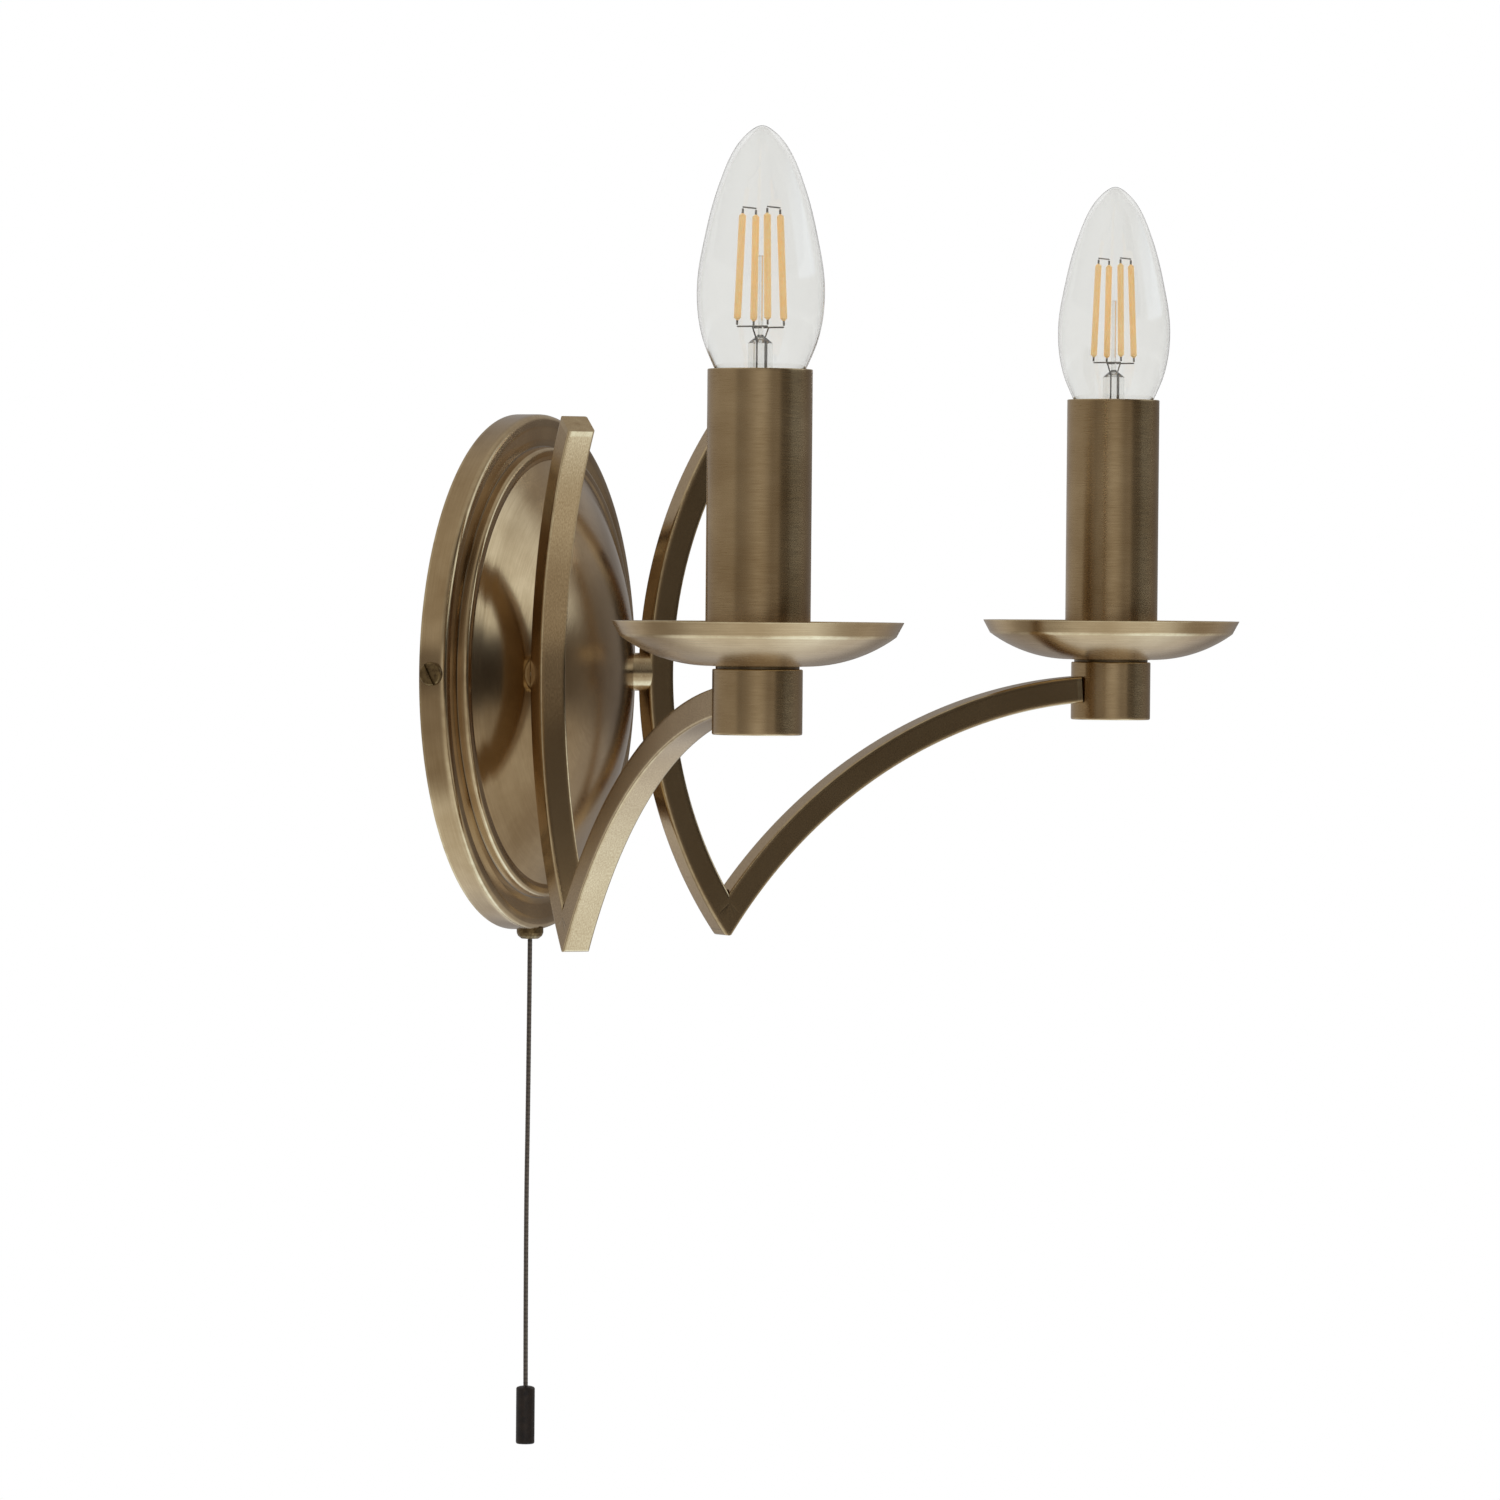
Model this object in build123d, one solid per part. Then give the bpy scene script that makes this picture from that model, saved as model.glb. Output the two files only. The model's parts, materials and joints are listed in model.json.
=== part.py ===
from build123d import *
import math
import os

# Double arm candle wall light, in millimetres.
# Origin: centre of the two wall screws, in the plane of the wall.  +Y points into the wall,
# the light stands out towards -Y, +Z is up.  The two arms are mirror images about X = 0.

# ---- driving dimensions ------------------------------------------------------------------

# wall plate: a spun brass cover, drum rim, flat face, bead, sloping band and dome
plate_radius = 77.0
plate_wall = 1.0
rim_depth = 7.8
rim_edge_radius = 1.4
face_rise = 0.4
bead_radius = 67.2
bead_width = 3.2
bead_foot = 0.8
bead_height = 2.7
band_width = 4.4
band_rise = 2.0
dome_height = 16.1

# steel strap behind the plate
strap_thickness = 2.0
strap_width = 26.0
strap_gap = 0.3
tab_width = 12.0
tab_depth = 6.3
slot_spacing = 60.0
slot_length = 14.0
slot_width = 4.6
cable_hole_radius = 6.5
earth_screw_x = -14.5

# side screws that hold the plate to the strap
side_screw_depth = 4.0
side_screw_radius = 2.0
side_screw_head_radius = 3.4
side_screw_head_height = 1.7
side_screw_length = 7.0
screw_slot_width = 0.9
screw_slot_depth = 0.8
thread_clearance = 0.05
hole_clearance = 0.2

# arms: square tube bent in one upright plane each, an upright and a branch that meet in a V
arm_splay = 47.0
arm_plane_x = 15.0
bar_size = 8.2
bar_wall = 1.2
bar_edge_radius = 0.7
bow_reach = 39.7
bow_radius = 130.5
upright_top_angle = 33.9
top_cap = 1.2
lamp_reach = 198.0
branch_radius = 165.0
branch_crest_z = -4.6
tip_radius = 2.0

# distance piece and hollow screwed tube that join an arm to the plate
boss_radius = 5.75
boss_stock = 16.0
nipple_radius = 4.0
nipple_bore = 2.6
nipple_inner_end = 12.6
nut_width = 12.0
nut_height = 3.0
washer_radius = 7.5
washer_thickness = 1.0

# lamp cup, collar, drip dish and candle tube
cup_radius = 12.4
cup_height = 18.0
cup_top_z = 3.5
cup_wall = 2.0
cup_edge = 0.3
collar_radius = 11.5
collar_height = 0.8
collar_spigot = 3.0
fit_clearance = 0.05
dish_radius = 40.0
dish_height = 12.2
dish_wall = 0.8
dish_floor_radius = 13.0
dish_curve_radius = 42.0
dish_lip_radius = 37.9
tube_radius = 14.4
tube_wall = 0.8
tube_length = 80.3

# lampholder for a small screw cap (14 mm)
holder_radius = 12.5
holder_length = 65.5
holder_floor = 3.0
holder_web_z = 39.5
holder_web = 4.0
holder_lower_radius = 9.5
sleeve_radius = 7.7
sleeve_wall = 0.5
sleeve_length = 17.0
contact_radius = 2.6
contact_thickness = 0.5
rivet_radius = 1.2
holder_nipple_radius = 5.0
holder_nipple_bore = 3.6
holder_nut_width = 14.0

# candle bulb
bulb_radius = 17.5
bulb_tip_height = 66.5
bulb_glass_wall = 0.7
bulb_seat_depth = 11.5
bulb_neck_radius = 7.6
bulb_shoulder_out = 1.3
bulb_shoulder_up = 3.2
bulb_cap_radius = 6.9
bulb_cap_root = 6.3
bulb_cap_pitch = 2.82
bulb_cap_turns = 5
bulb_cap_skirt = 5.2
bulb_insulator_height = 2.4
bulb_tip_radius = 2.3
bulb_tip_contact = 1.3
contact_gap = 0.1
filament_top = 43.7
filament_bottom = 12.0
filament_top_ring = 5.3
filament_bottom_ring = 6.7
filament_radius = 0.75
filament_turn = 37.0
lead_radius = 0.25
stem_radius = 3.4
stem_top = 7.9
stem_foot_radius = 5.6
stem_rod_radius = 0.8
stem_rod_top = 31.0

# pull switch at the foot of the plate
switch_depth = 4.3
switch_width = 22.0
switch_height = 16.0
switch_thickness = 8.4
switch_wall = 1.0
switch_rise = 3.2
nozzle_radius = 2.0
nozzle_bore = 1.1
drum_radius = 5.0
drum_thickness = 3.6
drum_pin_radius = 1.2
ferrule_radius = 4.0
ferrule_height = 2.8
cord_diameter = 1.45
link_diameter = 1.4
weight_radius = 2.8
weight_length = 17.3
cord_drop = 134.2
swing_clearance = 0.35

# wires and terminals
wire_diameter = 2.0
block_length = 19.0
block_width = 16.0
block_height = 8.6
block_x = 48.5
block_screw_radius = 1.6
block_wire_depth = 3.2
block_wire_bore = 1.5
block_peg_radius = 1.5
lead_diameter = 1.8

# ---- values worked out from them -----------------------------------------------------------

half_bar = bar_size / 2
bow_centre = bow_reach + bow_radius
branch_centre_z = branch_crest_z - branch_radius
splay = math.radians(arm_splay)
face_depth = rim_depth + face_rise
bead_top = face_depth + bead_height
dome_radius = bead_radius - bead_width - band_width
dome_base_depth = bead_top + band_rise - 0.3
dome_depth = dome_base_depth + dome_height
dome_sphere = (dome_radius**2 + dome_height**2) / (2 * dome_height)
collar_top_z = cup_top_z + collar_height
dish_floor_z = collar_top_z + dish_wall
tube_bottom_z = dish_floor_z + fit_clearance
tube_top_z = tube_bottom_z + tube_length
bulb_seat_z = tube_top_z - bulb_seat_depth
cap_length = bulb_cap_turns * bulb_cap_pitch + bulb_cap_skirt
cap_bottom_z = bulb_seat_z - cap_length
bulb_bottom_z = cap_bottom_z - bulb_insulator_height - bulb_tip_contact
holder_bottom_z = dish_floor_z
contact_top_z = bulb_bottom_z - contact_gap
switch_y = -switch_depth
cord_exit_z = -plate_radius - ferrule_height
switch_bottom_z = switch_rise - (bead_radius - plate_wall)

cord_route = [
    (0.0, switch_y, cord_exit_z),
    (0.1, switch_y + 0.15, cord_exit_z - 0.314 * cord_drop),
    (-0.1, switch_y + 0.55, cord_exit_z - 0.65 * cord_drop),
    (0.0, switch_y + 0.25, cord_exit_z - cord_drop),
]


# ---- helpers -------------------------------------------------------------------------------

os.makedirs("parts", exist_ok=True)


def save(node, shape):
    """Write one node to its own file."""
    export_step(shape, f"parts/{node}.step")


def turned(points):
    """A solid of revolution about Z from a closed outline of (radius, height) points."""
    outline = Polyline(*points, close=True)
    return revolve(Plane.XZ * make_face(outline), Axis.Z, 360)


def ring(outer, inner, low, high):
    """A plain ring about Z."""
    return turned([(inner, low), (outer, low), (outer, high), (inner, high)])


def rod(radius, start, end):
    """A round rod between two points."""
    path = Vector(*end) - Vector(*start)
    place = Plane(origin=Vector(*start), z_dir=path)
    return extrude(place * Circle(radius), path.length)


def block(x, y, z):
    """A box from its limits along each axis."""
    size = (x[1] - x[0], y[1] - y[0], z[1] - z[0])
    middle = ((x[0] + x[1]) / 2, (y[0] + y[1]) / 2, (z[0] + z[1]) / 2)
    return Pos(*middle) * Box(*size)


def hex_nut(width, bore, low, high):
    """A hexagon nut about Z."""
    hexagon = RegularPolygon(width / 2, 6, major_radius=False) - Circle(bore)
    return Pos(0, 0, low) * extrude(hexagon, high - low)


def arm_frame(side):
    """The arm's own plane: x runs out along the arm from the wall, y is up."""
    along = (side * math.sin(splay), -math.cos(splay), 0)
    across = (-math.cos(splay), -side * math.sin(splay), 0)
    return Plane(origin=(side * arm_plane_x, 0, 0), x_dir=along, z_dir=across)


def at_lamp(side, shape):
    """Move a shape made about the Z axis to the lamp's axis."""
    place = arm_frame(side).from_local_coords(Vector(lamp_reach, 0, 0))
    return Pos(place.X, place.Y, 0) * shape


def along_arm(side, start, shape):
    """Turn a shape made about Z so that its +Z runs out along the arm, and put it at a reach."""
    frame = arm_frame(side)
    place = Plane(origin=frame.from_local_coords(Vector(start, 0, 0)), z_dir=frame.x_dir)
    return place * shape


def tube_along(points, diameter):
    """A tube on straight runs joined by arcs as large as the runs allow, with its radii."""
    places = [Vector(*p) for p in points]
    radii = []
    for before, corner, after in zip(places, places[1:], places[2:]):
        turn = math.radians((corner - before).get_angle(after - corner))
        shorter = min((corner - before).length, (after - corner).length)
        radii.append(0.45 * shorter / math.tan(turn / 2))
    path = FilletPolyline(*places, radius=radii)
    section = Plane(origin=path @ 0, z_dir=path % 0) * Circle(diameter / 2)
    return sweep(section, path), path.length, radii


# ---- wall plate ----------------------------------------------------------------------------


def plate_outline():
    """Outline of the spun plate as (radius, depth in front of the wall), outside and inside."""
    r = plate_radius
    edge = rim_edge_radius
    turn = edge * math.sin(math.radians(45))
    bead_in = bead_radius - bead_width
    rim = Line((r, 0), (r, rim_depth - edge))
    rolled = ThreePointArc(
        rim @ 1,
        (r - edge + turn, rim_depth - edge + turn),
        (r - edge, rim_depth),
    )
    face = Line(rolled @ 1, (bead_radius + bead_foot, face_depth))
    foot = ThreePointArc(
        face @ 1,
        (bead_radius + 0.3 * bead_foot, face_depth + 0.3 * bead_foot),
        (bead_radius, face_depth + bead_foot),
    )
    bead = ThreePointArc(
        foot @ 1,
        (bead_radius - 0.32 * bead_width, bead_top),
        (bead_in, bead_top - 0.3),
    )
    band = Line(bead @ 1, (dome_radius, dome_base_depth))
    half = dome_radius / 2
    rise = math.sqrt(dome_sphere**2 - half**2) - (dome_sphere - dome_height)
    dome = ThreePointArc(band @ 1, (half, dome_base_depth + rise), (0, dome_depth))
    w = plate_wall
    axis = Line(dome @ 1, (0, dome_depth - w))
    inner_dome = ThreePointArc(
        axis @ 1,
        (half, dome_base_depth + rise - w),
        (dome_radius - 0.4 * w, dome_base_depth - w),
    )
    inner_steps = Polyline(
        inner_dome @ 1,
        (bead_in - 0.4 * w, bead_top - 0.3 - w),
        (bead_radius - w, face_depth + bead_foot),
        (bead_radius - w, face_depth - w),
        (r - edge, rim_depth - w),
        (r - w, rim_depth - edge),
        (r - w, 0),
        (r, 0),
    )
    return [rim, rolled, face, foot, bead, band, dome, axis, inner_dome, inner_steps]


def dome_depth_at(radius):
    """Depth of the dome's outside at a distance from the plate's centre."""
    return dome_depth - dome_sphere + math.sqrt(dome_sphere**2 - radius**2)


def full_plate():
    """The plate's shell and the solid that its outside encloses, about the -Y axis."""
    edges = plate_outline()
    shell = revolve(Plane.XZ * make_face(Curve() + edges), Axis.Z, 360)
    close = Polyline(edges[6] @ 1, (0, 0), (plate_radius, 0))
    filled = revolve(Plane.XZ * make_face(Curve() + edges[:7] + [close]), Axis.Z, 360)
    return Rot(90, 0, 0) * shell, Rot(90, 0, 0) * filled


plate_shell, plate_filled = full_plate()


def make_cover():
    cover = plate_shell
    for side in (-1, 1):
        inside = (side * (plate_radius - 6), -side_screw_depth, 0)
        outside = (side * (plate_radius + 3), -side_screw_depth, 0)
        cover -= rod(side_screw_radius + hole_clearance, inside, outside)
        hole = Cylinder(nipple_radius + hole_clearance, 2 * (dome_depth - face_depth))
        cover -= along_arm(side, bow_reach - 12, hole)
    cover -= rod(
        nozzle_radius + hole_clearance,
        (0, switch_y, -plate_radius + 6),
        (0, switch_y, -plate_radius - 3),
    )
    return cover


def make_strap():
    reach = plate_radius - plate_wall - strap_gap
    strap = block((-reach, reach), (-strap_thickness, 0), (-strap_width / 2, strap_width / 2))
    for side in (-1, 1):
        tab_x = sorted((side * reach, side * (reach - strap_thickness)))
        strap += block(tab_x, (-tab_depth, 0), (-tab_width / 2, tab_width / 2))
    strap &= Rot(90, 0, 0) * Cylinder(reach, 4 * tab_depth)
    middle = -strap_thickness / 2
    for side in (-1, 1):
        place = Pos(side * slot_spacing / 2, middle, 0) * Rot(90, 0, 0)
        slot = extrude(SlotOverall(slot_length, slot_width), strap_thickness, both=True)
        strap -= place * slot
        tapped = side_screw_radius + thread_clearance
        start = (side * (reach - 2 * strap_thickness), -side_screw_depth, 0)
        strap -= rod(tapped, start, (side * (reach + 1), -side_screw_depth, 0))
        peg_z = side * block_width / 4
        peg_hole = block_peg_radius + thread_clearance
        strap -= rod(peg_hole, (block_x, 1, peg_z), (block_x, -strap_thickness - 1, peg_z))
    strap -= Rot(90, 0, 0) * Cylinder(cable_hole_radius, 4 * strap_thickness)
    strap -= rod(
        side_screw_radius + thread_clearance,
        (earth_screw_x, 1, 0),
        (earth_screw_x, -strap_thickness - 1, 0),
    )
    return strap


def slotted_screw(shank, length, head, head_height):
    """A slotted screw about Z: the head stands on Z = 0 and the shank runs down."""
    screw = Pos(0, 0, -length / 2) * Cylinder(shank, length)
    top = Pos(0, 0, head_height / 2) * Cylinder(head, head_height)
    top = fillet(top.edges().group_by(Axis.Z)[-1], 0.35 * head_height)
    slot = Box(3 * head, screw_slot_width, 2 * screw_slot_depth)
    return screw + (top - Pos(0, 0, head_height) * slot)


def make_side_screws():
    screws = []
    for side in (-1, 1):
        screw = slotted_screw(
            side_screw_radius, side_screw_length, side_screw_head_radius, side_screw_head_height
        )
        place = Plane(
            origin=(side * (plate_radius + fit_clearance), -side_screw_depth, 0),
            x_dir=(0, 0.5, 1),
            z_dir=(side, 0, 0),
        )
        screws.append(place * screw)
    return Compound(children=screws)


# ---- arms ----------------------------------------------------------------------------------


def crossing(radius_a, radius_b):
    """Where a circle about the bow's centre meets one about the branch's centre, at the V."""
    ax, ay = bow_centre, 0.0
    bx, by = lamp_reach, branch_centre_z
    gap = math.hypot(bx - ax, by - ay)
    along = (gap**2 + radius_a**2 - radius_b**2) / (2 * gap)
    off = math.sqrt(radius_a**2 - along**2)
    ux, uy = (bx - ax) / gap, (by - ay) / gap
    return ax + along * ux + off * uy, ay + along * uy - off * ux


notch = crossing(bow_radius - half_bar, branch_radius + half_bar)
sharp_tip = crossing(bow_radius + half_bar, branch_radius - half_bar)
v_centre = crossing(bow_radius, branch_radius)
mitre = (Vector(*sharp_tip) - Vector(*notch)).normalized()


def bow_point(angle):
    """A point of the upright's centre line at an angle above the boss."""
    turn = math.radians(angle)
    return bow_centre - bow_radius * math.cos(turn), bow_radius * math.sin(turn)


def branch_point(reach):
    """A point of the branch's centre line at a reach from the wall."""
    return reach, branch_centre_z + math.sqrt(branch_radius**2 - (lamp_reach - reach) ** 2)


def bent_bar(centre, radius, start, end, size, edge):
    """A square bar bent round a centre in the arm's plane, between two turns from its near side."""
    section = Rectangle(size, size)
    if edge:
        section = fillet(section.vertices(), edge)
    placed = Plane(origin=(-radius, 0, 0), z_dir=(0, 1, 0)) * section
    bar = revolve(placed, Axis.Z, end - start)
    return Pos(*centre, 0) * Rot(0, 0, start) * bar


def mitre_block(side_sign):
    """A large block on one side of the mitre plane of the V."""
    start = Vector(*notch) - mitre * 2 * bow_radius
    end = Vector(*sharp_tip) + mitre * bow_radius
    across = Vector(mitre.Y, -mitre.X) * (side_sign * 2 * bow_radius)
    corners = [start, end, end + across, start + across]
    face = make_face(Polyline(*[(c.X, c.Y) for c in corners], close=True))
    return extrude(face, 2 * bar_size, both=True)


def tip_trim():
    """What rounding takes off the point of the V."""
    half_angle = math.asin(half_bar / (Vector(*v_centre) - Vector(*sharp_tip)).length)
    apex = Vector(*sharp_tip) - mitre * (tip_radius / math.sin(half_angle) - tip_radius)
    curve = 1.25 * tip_radius
    middle = apex - mitre * curve
    square = Rectangle(2 * bar_size, 2 * bar_size)
    turn = math.degrees(math.atan2(mitre.Y, mitre.X))
    cut_at = middle + mitre * (bar_size + 0.35 * curve)
    flat = Pos(cut_at.X, cut_at.Y) * Rot(0, 0, turn) * square
    flat -= Pos(middle.X, middle.Y) * Circle(curve)
    return extrude(flat, bar_size, both=True)


def make_arm(side):
    """The upright and the branch of one arm, hollow for the wires."""
    frame = arm_frame(side)
    inner = bar_size - 2 * bar_wall
    cap_turn = math.degrees(top_cap / bow_radius)
    past = 60.0
    bow = ((bow_centre, 0), bow_radius)
    sweep_out = ((lamp_reach, branch_centre_z), branch_radius)
    upright = bent_bar(*bow, -upright_top_angle, past, bar_size, bar_edge_radius)
    upright -= bent_bar(*bow, cap_turn - upright_top_angle, past, inner, 0)
    branch = bent_bar(*sweep_out, -90, -past / 3, bar_size, bar_edge_radius)
    branch -= bent_bar(*sweep_out, -90, -past / 3, inner, 0)
    upright = upright & mitre_block(1)
    branch = branch & mitre_block(-1)
    upright = frame * (upright - tip_trim())
    branch = frame * (branch - tip_trim())
    hole = Pos(0, 0, half_bar / 2) * Cylinder(nipple_radius + thread_clearance, half_bar)
    upright -= along_arm(side, bow_reach - half_bar - 1.5, hole)
    branch -= at_lamp(side, Pos(0, 0, branch_crest_z) * Cylinder(cup_radius, 4 * bar_size))
    return upright, branch


def make_boss(side):
    """Turned distance piece between the dome and the back of the upright."""
    start = bow_reach - half_bar - boss_stock
    boss = ring(boss_radius, nipple_radius + hole_clearance, 0, boss_stock)
    boss = along_arm(side, start, boss) - plate_filled
    solids = sorted(boss.solids(), key=lambda s: s.volume)
    return solids[-1]


def make_nipple(side):
    """Hollow screwed tube from inside the dome through the boss into the upright."""
    end = bow_reach - half_bar + bar_wall + 0.3
    start = bow_reach - half_bar - nipple_inner_end
    return along_arm(side, start, ring(nipple_radius, nipple_bore, 0, end - start))


def nut_reach():
    """Reach of the flat side of the saddle washer that fills the corner under the dome."""
    centre_depth = dome_depth - dome_sphere
    inner = dome_sphere - plate_wall
    along = arm_plane_x * math.sin(splay) - centre_depth * math.cos(splay)
    beside = arm_plane_x**2 + centre_depth**2 - inner**2
    crossing_reach = math.sqrt(along**2 - beside) - along
    lean = math.acos((crossing_reach + along) / inner)
    return crossing_reach - washer_radius * math.tan(lean) - washer_thickness


def make_nuts():
    nuts = []
    washers = []
    seat = nut_reach()
    for side in (-1, 1):
        washer = ring(washer_radius, nipple_radius + hole_clearance, 0, 3 * washer_radius)
        washer = along_arm(side, seat, washer) & (plate_filled - plate_shell)
        washers.append(max(washer.solids(), key=lambda s: s.volume))
        nut = hex_nut(nut_width, nipple_radius + thread_clearance, -nut_height, 0)
        nuts.append(along_arm(side, seat, nut))
    return Compound(children=nuts), Compound(children=washers)


# ---- lamps ---------------------------------------------------------------------------------


def make_cup():
    low = cup_top_z - cup_height
    r = cup_radius
    cup = turned(
        [
            (0, low),
            (r - cup_edge, low),
            (r, low + cup_edge),
            (r, cup_top_z - cup_edge),
            (r - cup_edge, cup_top_z),
            (r - cup_wall, cup_top_z),
            (r - cup_wall, low + cup_wall),
            (0, low + cup_wall),
        ]
    )
    return cup


def wire_hole(side):
    """Hole in the cup's wall where the branch brings the wires in."""
    opening = half_bar - bar_wall
    hole = Cylinder(opening * 0.9, 2 * cup_radius)
    frame = arm_frame(side)
    middle = frame.from_local_coords(Vector(lamp_reach - cup_radius, branch_crest_z, 0))
    return Plane(origin=middle, z_dir=frame.x_dir) * (Pos(0, 0, 0) * hole)


def make_collar():
    spigot = cup_radius - cup_wall - fit_clearance
    bore = holder_nipple_radius + thread_clearance
    return turned(
        [
            (bore, cup_top_z - collar_spigot),
            (spigot, cup_top_z - collar_spigot),
            (spigot, cup_top_z),
            (collar_radius, cup_top_z),
            (collar_radius, collar_top_z),
            (bore, collar_top_z),
        ]
    )


def dish_rise(radius, curve):
    """Height of the dish's curve over its floor."""
    return curve - math.sqrt(curve**2 - (radius - dish_floor_radius) ** 2)


def make_dish():
    low = collar_top_z
    rim = low + dish_height
    bore = holder_nipple_radius + hole_clearance
    curve = dish_curve_radius
    half = (dish_floor_radius + dish_lip_radius) / 2
    lip = dish_lip_radius
    floor = Line((bore, low), (dish_floor_radius, low))
    belly = ThreePointArc(
        floor @ 1, (half, low + dish_rise(half, curve)), (lip, low + dish_rise(lip, curve))
    )
    outer_lip = Line(belly @ 1, (dish_radius, rim))
    w = dish_wall
    inner_lip = Line(outer_lip @ 1, (lip - 0.75 * w, low + dish_rise(lip, curve) + w * 0.9))
    inner_half = low + w + dish_rise(half, curve)
    inner_belly = ThreePointArc(inner_lip @ 1, (half, inner_half), (dish_floor_radius, low + w))
    close = Polyline(inner_belly @ 1, (bore, low + w), (bore, low))
    edges = [floor, belly, outer_lip, inner_lip, inner_belly, close]
    return revolve(Plane.XZ * make_face(Curve() + edges), Axis.Z, 360)


def make_candle_tube():
    return ring(tube_radius, tube_radius - tube_wall, tube_bottom_z, tube_top_z)


def make_holder():
    low = holder_bottom_z
    top = low + holder_length
    web = low + holder_web_z
    bore = sleeve_radius + fit_clearance
    pass_hole = holder_nipple_radius + hole_clearance
    rivet = rivet_radius + fit_clearance
    body = turned([(0, low), (holder_radius, low), (holder_radius, top), (0, top)])
    body -= Pos(0, 0, low) * Cylinder(pass_hole, 3 * holder_floor)
    body -= ring(holder_lower_radius, 0, low + holder_floor, web)
    body -= Pos(0, 0, web + holder_web / 2) * Cylinder(rivet, 2 * holder_web)
    body -= ring(bore, 0, web + holder_web, top + 1)
    return body


def make_sleeve():
    low = holder_bottom_z + holder_web_z + holder_web
    return ring(sleeve_radius, sleeve_radius - sleeve_wall, low, low + sleeve_length)


def make_contact():
    web = holder_bottom_z + holder_web_z
    top = contact_top_z
    return turned(
        [
            (0, web - 1),
            (rivet_radius, web - 1),
            (rivet_radius, top - contact_thickness),
            (contact_radius, top - contact_thickness),
            (contact_radius, top),
            (0, top),
        ]
    )


def make_holder_nipple():
    low = cup_top_z - collar_spigot - nut_height - 1
    high = holder_bottom_z + holder_floor + nut_height + 1
    return ring(holder_nipple_radius, holder_nipple_bore, low, high)


def make_holder_nuts():
    bore = holder_nipple_radius + thread_clearance
    under = cup_top_z - collar_spigot
    over = holder_bottom_z + holder_floor
    lower = hex_nut(holder_nut_width, bore, under - nut_height, under)
    upper = hex_nut(holder_nut_width, bore, over, over + nut_height)
    return Compound(children=[lower, upper])


# ---- bulb ----------------------------------------------------------------------------------

# outline of the candle-shaped glass: height above the tube's mouth and radius, as shares of
# the glass's height over the mouth and of its largest radius
glass_shape = [
    (0.033, 0.771),
    (0.099, 0.874),
    (0.164, 0.943),
    (0.262, 0.994),
    (0.311, 1.0),
    (0.394, 0.983),
    (0.525, 0.897),
    (0.655, 0.786),
    (0.786, 0.629),
    (0.917, 0.394),
    (0.975, 0.2),
]


def glass_outline(inset):
    """The glass's outside, or its inside at an inset, from the neck to the tip."""
    neck = (bulb_neck_radius - inset, bulb_seat_z)
    shoulder = bulb_neck_radius + bulb_shoulder_out - inset
    points = [neck, (shoulder, bulb_seat_z + bulb_shoulder_up)]
    for height, radius in glass_shape:
        point_z = tube_top_z + height * (bulb_tip_height - inset)
        points.append((radius * bulb_radius - inset, point_z))
    tip = (0, tube_top_z + bulb_tip_height - inset)
    return Spline(*points, tip, tangents=[(0.25, 1), (-1, -0.02)])


def make_glass():
    outer = glass_outline(0)
    inner = glass_outline(bulb_glass_wall)
    neck = Line(inner @ 0, outer @ 0)
    tip = Line(outer @ 1, inner @ 1)
    return revolve(Plane.XZ * make_face(Curve() + [neck, outer, tip, inner]), Axis.Z, 360)


def make_bulb_cap():
    """Screw cap with its rolled thread drawn as rounded rings."""
    points = [(0, cap_bottom_z), (bulb_cap_root, cap_bottom_z)]
    for turn in range(bulb_cap_turns):
        start = cap_bottom_z + turn * bulb_cap_pitch
        points.append((bulb_cap_root, start + 0.2 * bulb_cap_pitch))
        points.append((bulb_cap_radius, start + 0.42 * bulb_cap_pitch))
        points.append((bulb_cap_radius, start + 0.68 * bulb_cap_pitch))
        points.append((bulb_cap_root, start + 0.9 * bulb_cap_pitch))
    skirt = bulb_seat_z - 0.55 * bulb_cap_skirt
    rim = bulb_neck_radius + 0.35
    points.append((bulb_cap_root, skirt))
    points.append((rim, skirt + 1.4))
    points.append((rim, bulb_seat_z))
    points.append((0, bulb_seat_z))
    return turned(points)


def make_bulb_insulator():
    low = cap_bottom_z - bulb_insulator_height
    return turned(
        [(0, low), (bulb_tip_radius + 0.6, low), (bulb_cap_root - 0.3, cap_bottom_z), (0, cap_bottom_z)]
    )


def make_bulb_tip():
    top = cap_bottom_z - bulb_insulator_height
    low = bulb_bottom_z
    r = bulb_tip_radius
    return turned([(0, low), (0.7 * r, low), (r, low + 0.5), (r, top), (0, top)])


def make_bulb_stem():
    """Pressed glass stem with its flare, drawn-out pinch and thin rod."""
    foot = bulb_seat_z
    top = tube_top_z + stem_top
    rod_top = tube_top_z + stem_rod_top
    stem = turned(
        [
            (0, foot),
            (stem_foot_radius, foot),
            (stem_foot_radius - 0.6, foot + 2.5),
            (stem_radius, foot + 7),
            (stem_radius, top - 0.8),
            (stem_radius - 0.8, top),
            (stem_rod_radius, top + 1.4),
            (stem_rod_radius, rod_top),
            (0, rod_top),
        ]
    )
    for pinch, middle in lead_feet():
        below = pinch - (middle - pinch).normalized() * lead_radius
        stem -= rod(lead_radius + fit_clearance, below, middle)
    return stem


def filament_ends(index):
    """Top and foot of one of the four filaments."""
    turn = math.radians(filament_turn + 90 * index)
    across = (math.cos(turn), math.sin(turn))
    top_z = tube_top_z + filament_top
    foot_z = tube_top_z + filament_bottom
    top = (across[0] * filament_top_ring, across[1] * filament_top_ring, top_z)
    foot = (across[0] * filament_bottom_ring, across[1] * filament_bottom_ring, foot_z)
    return top, foot


def make_filaments():
    sticks = []
    for index in range(4):
        top, foot = filament_ends(index)
        sticks.append(rod(filament_radius, foot, top))
    return Compound(children=sticks)


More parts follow.
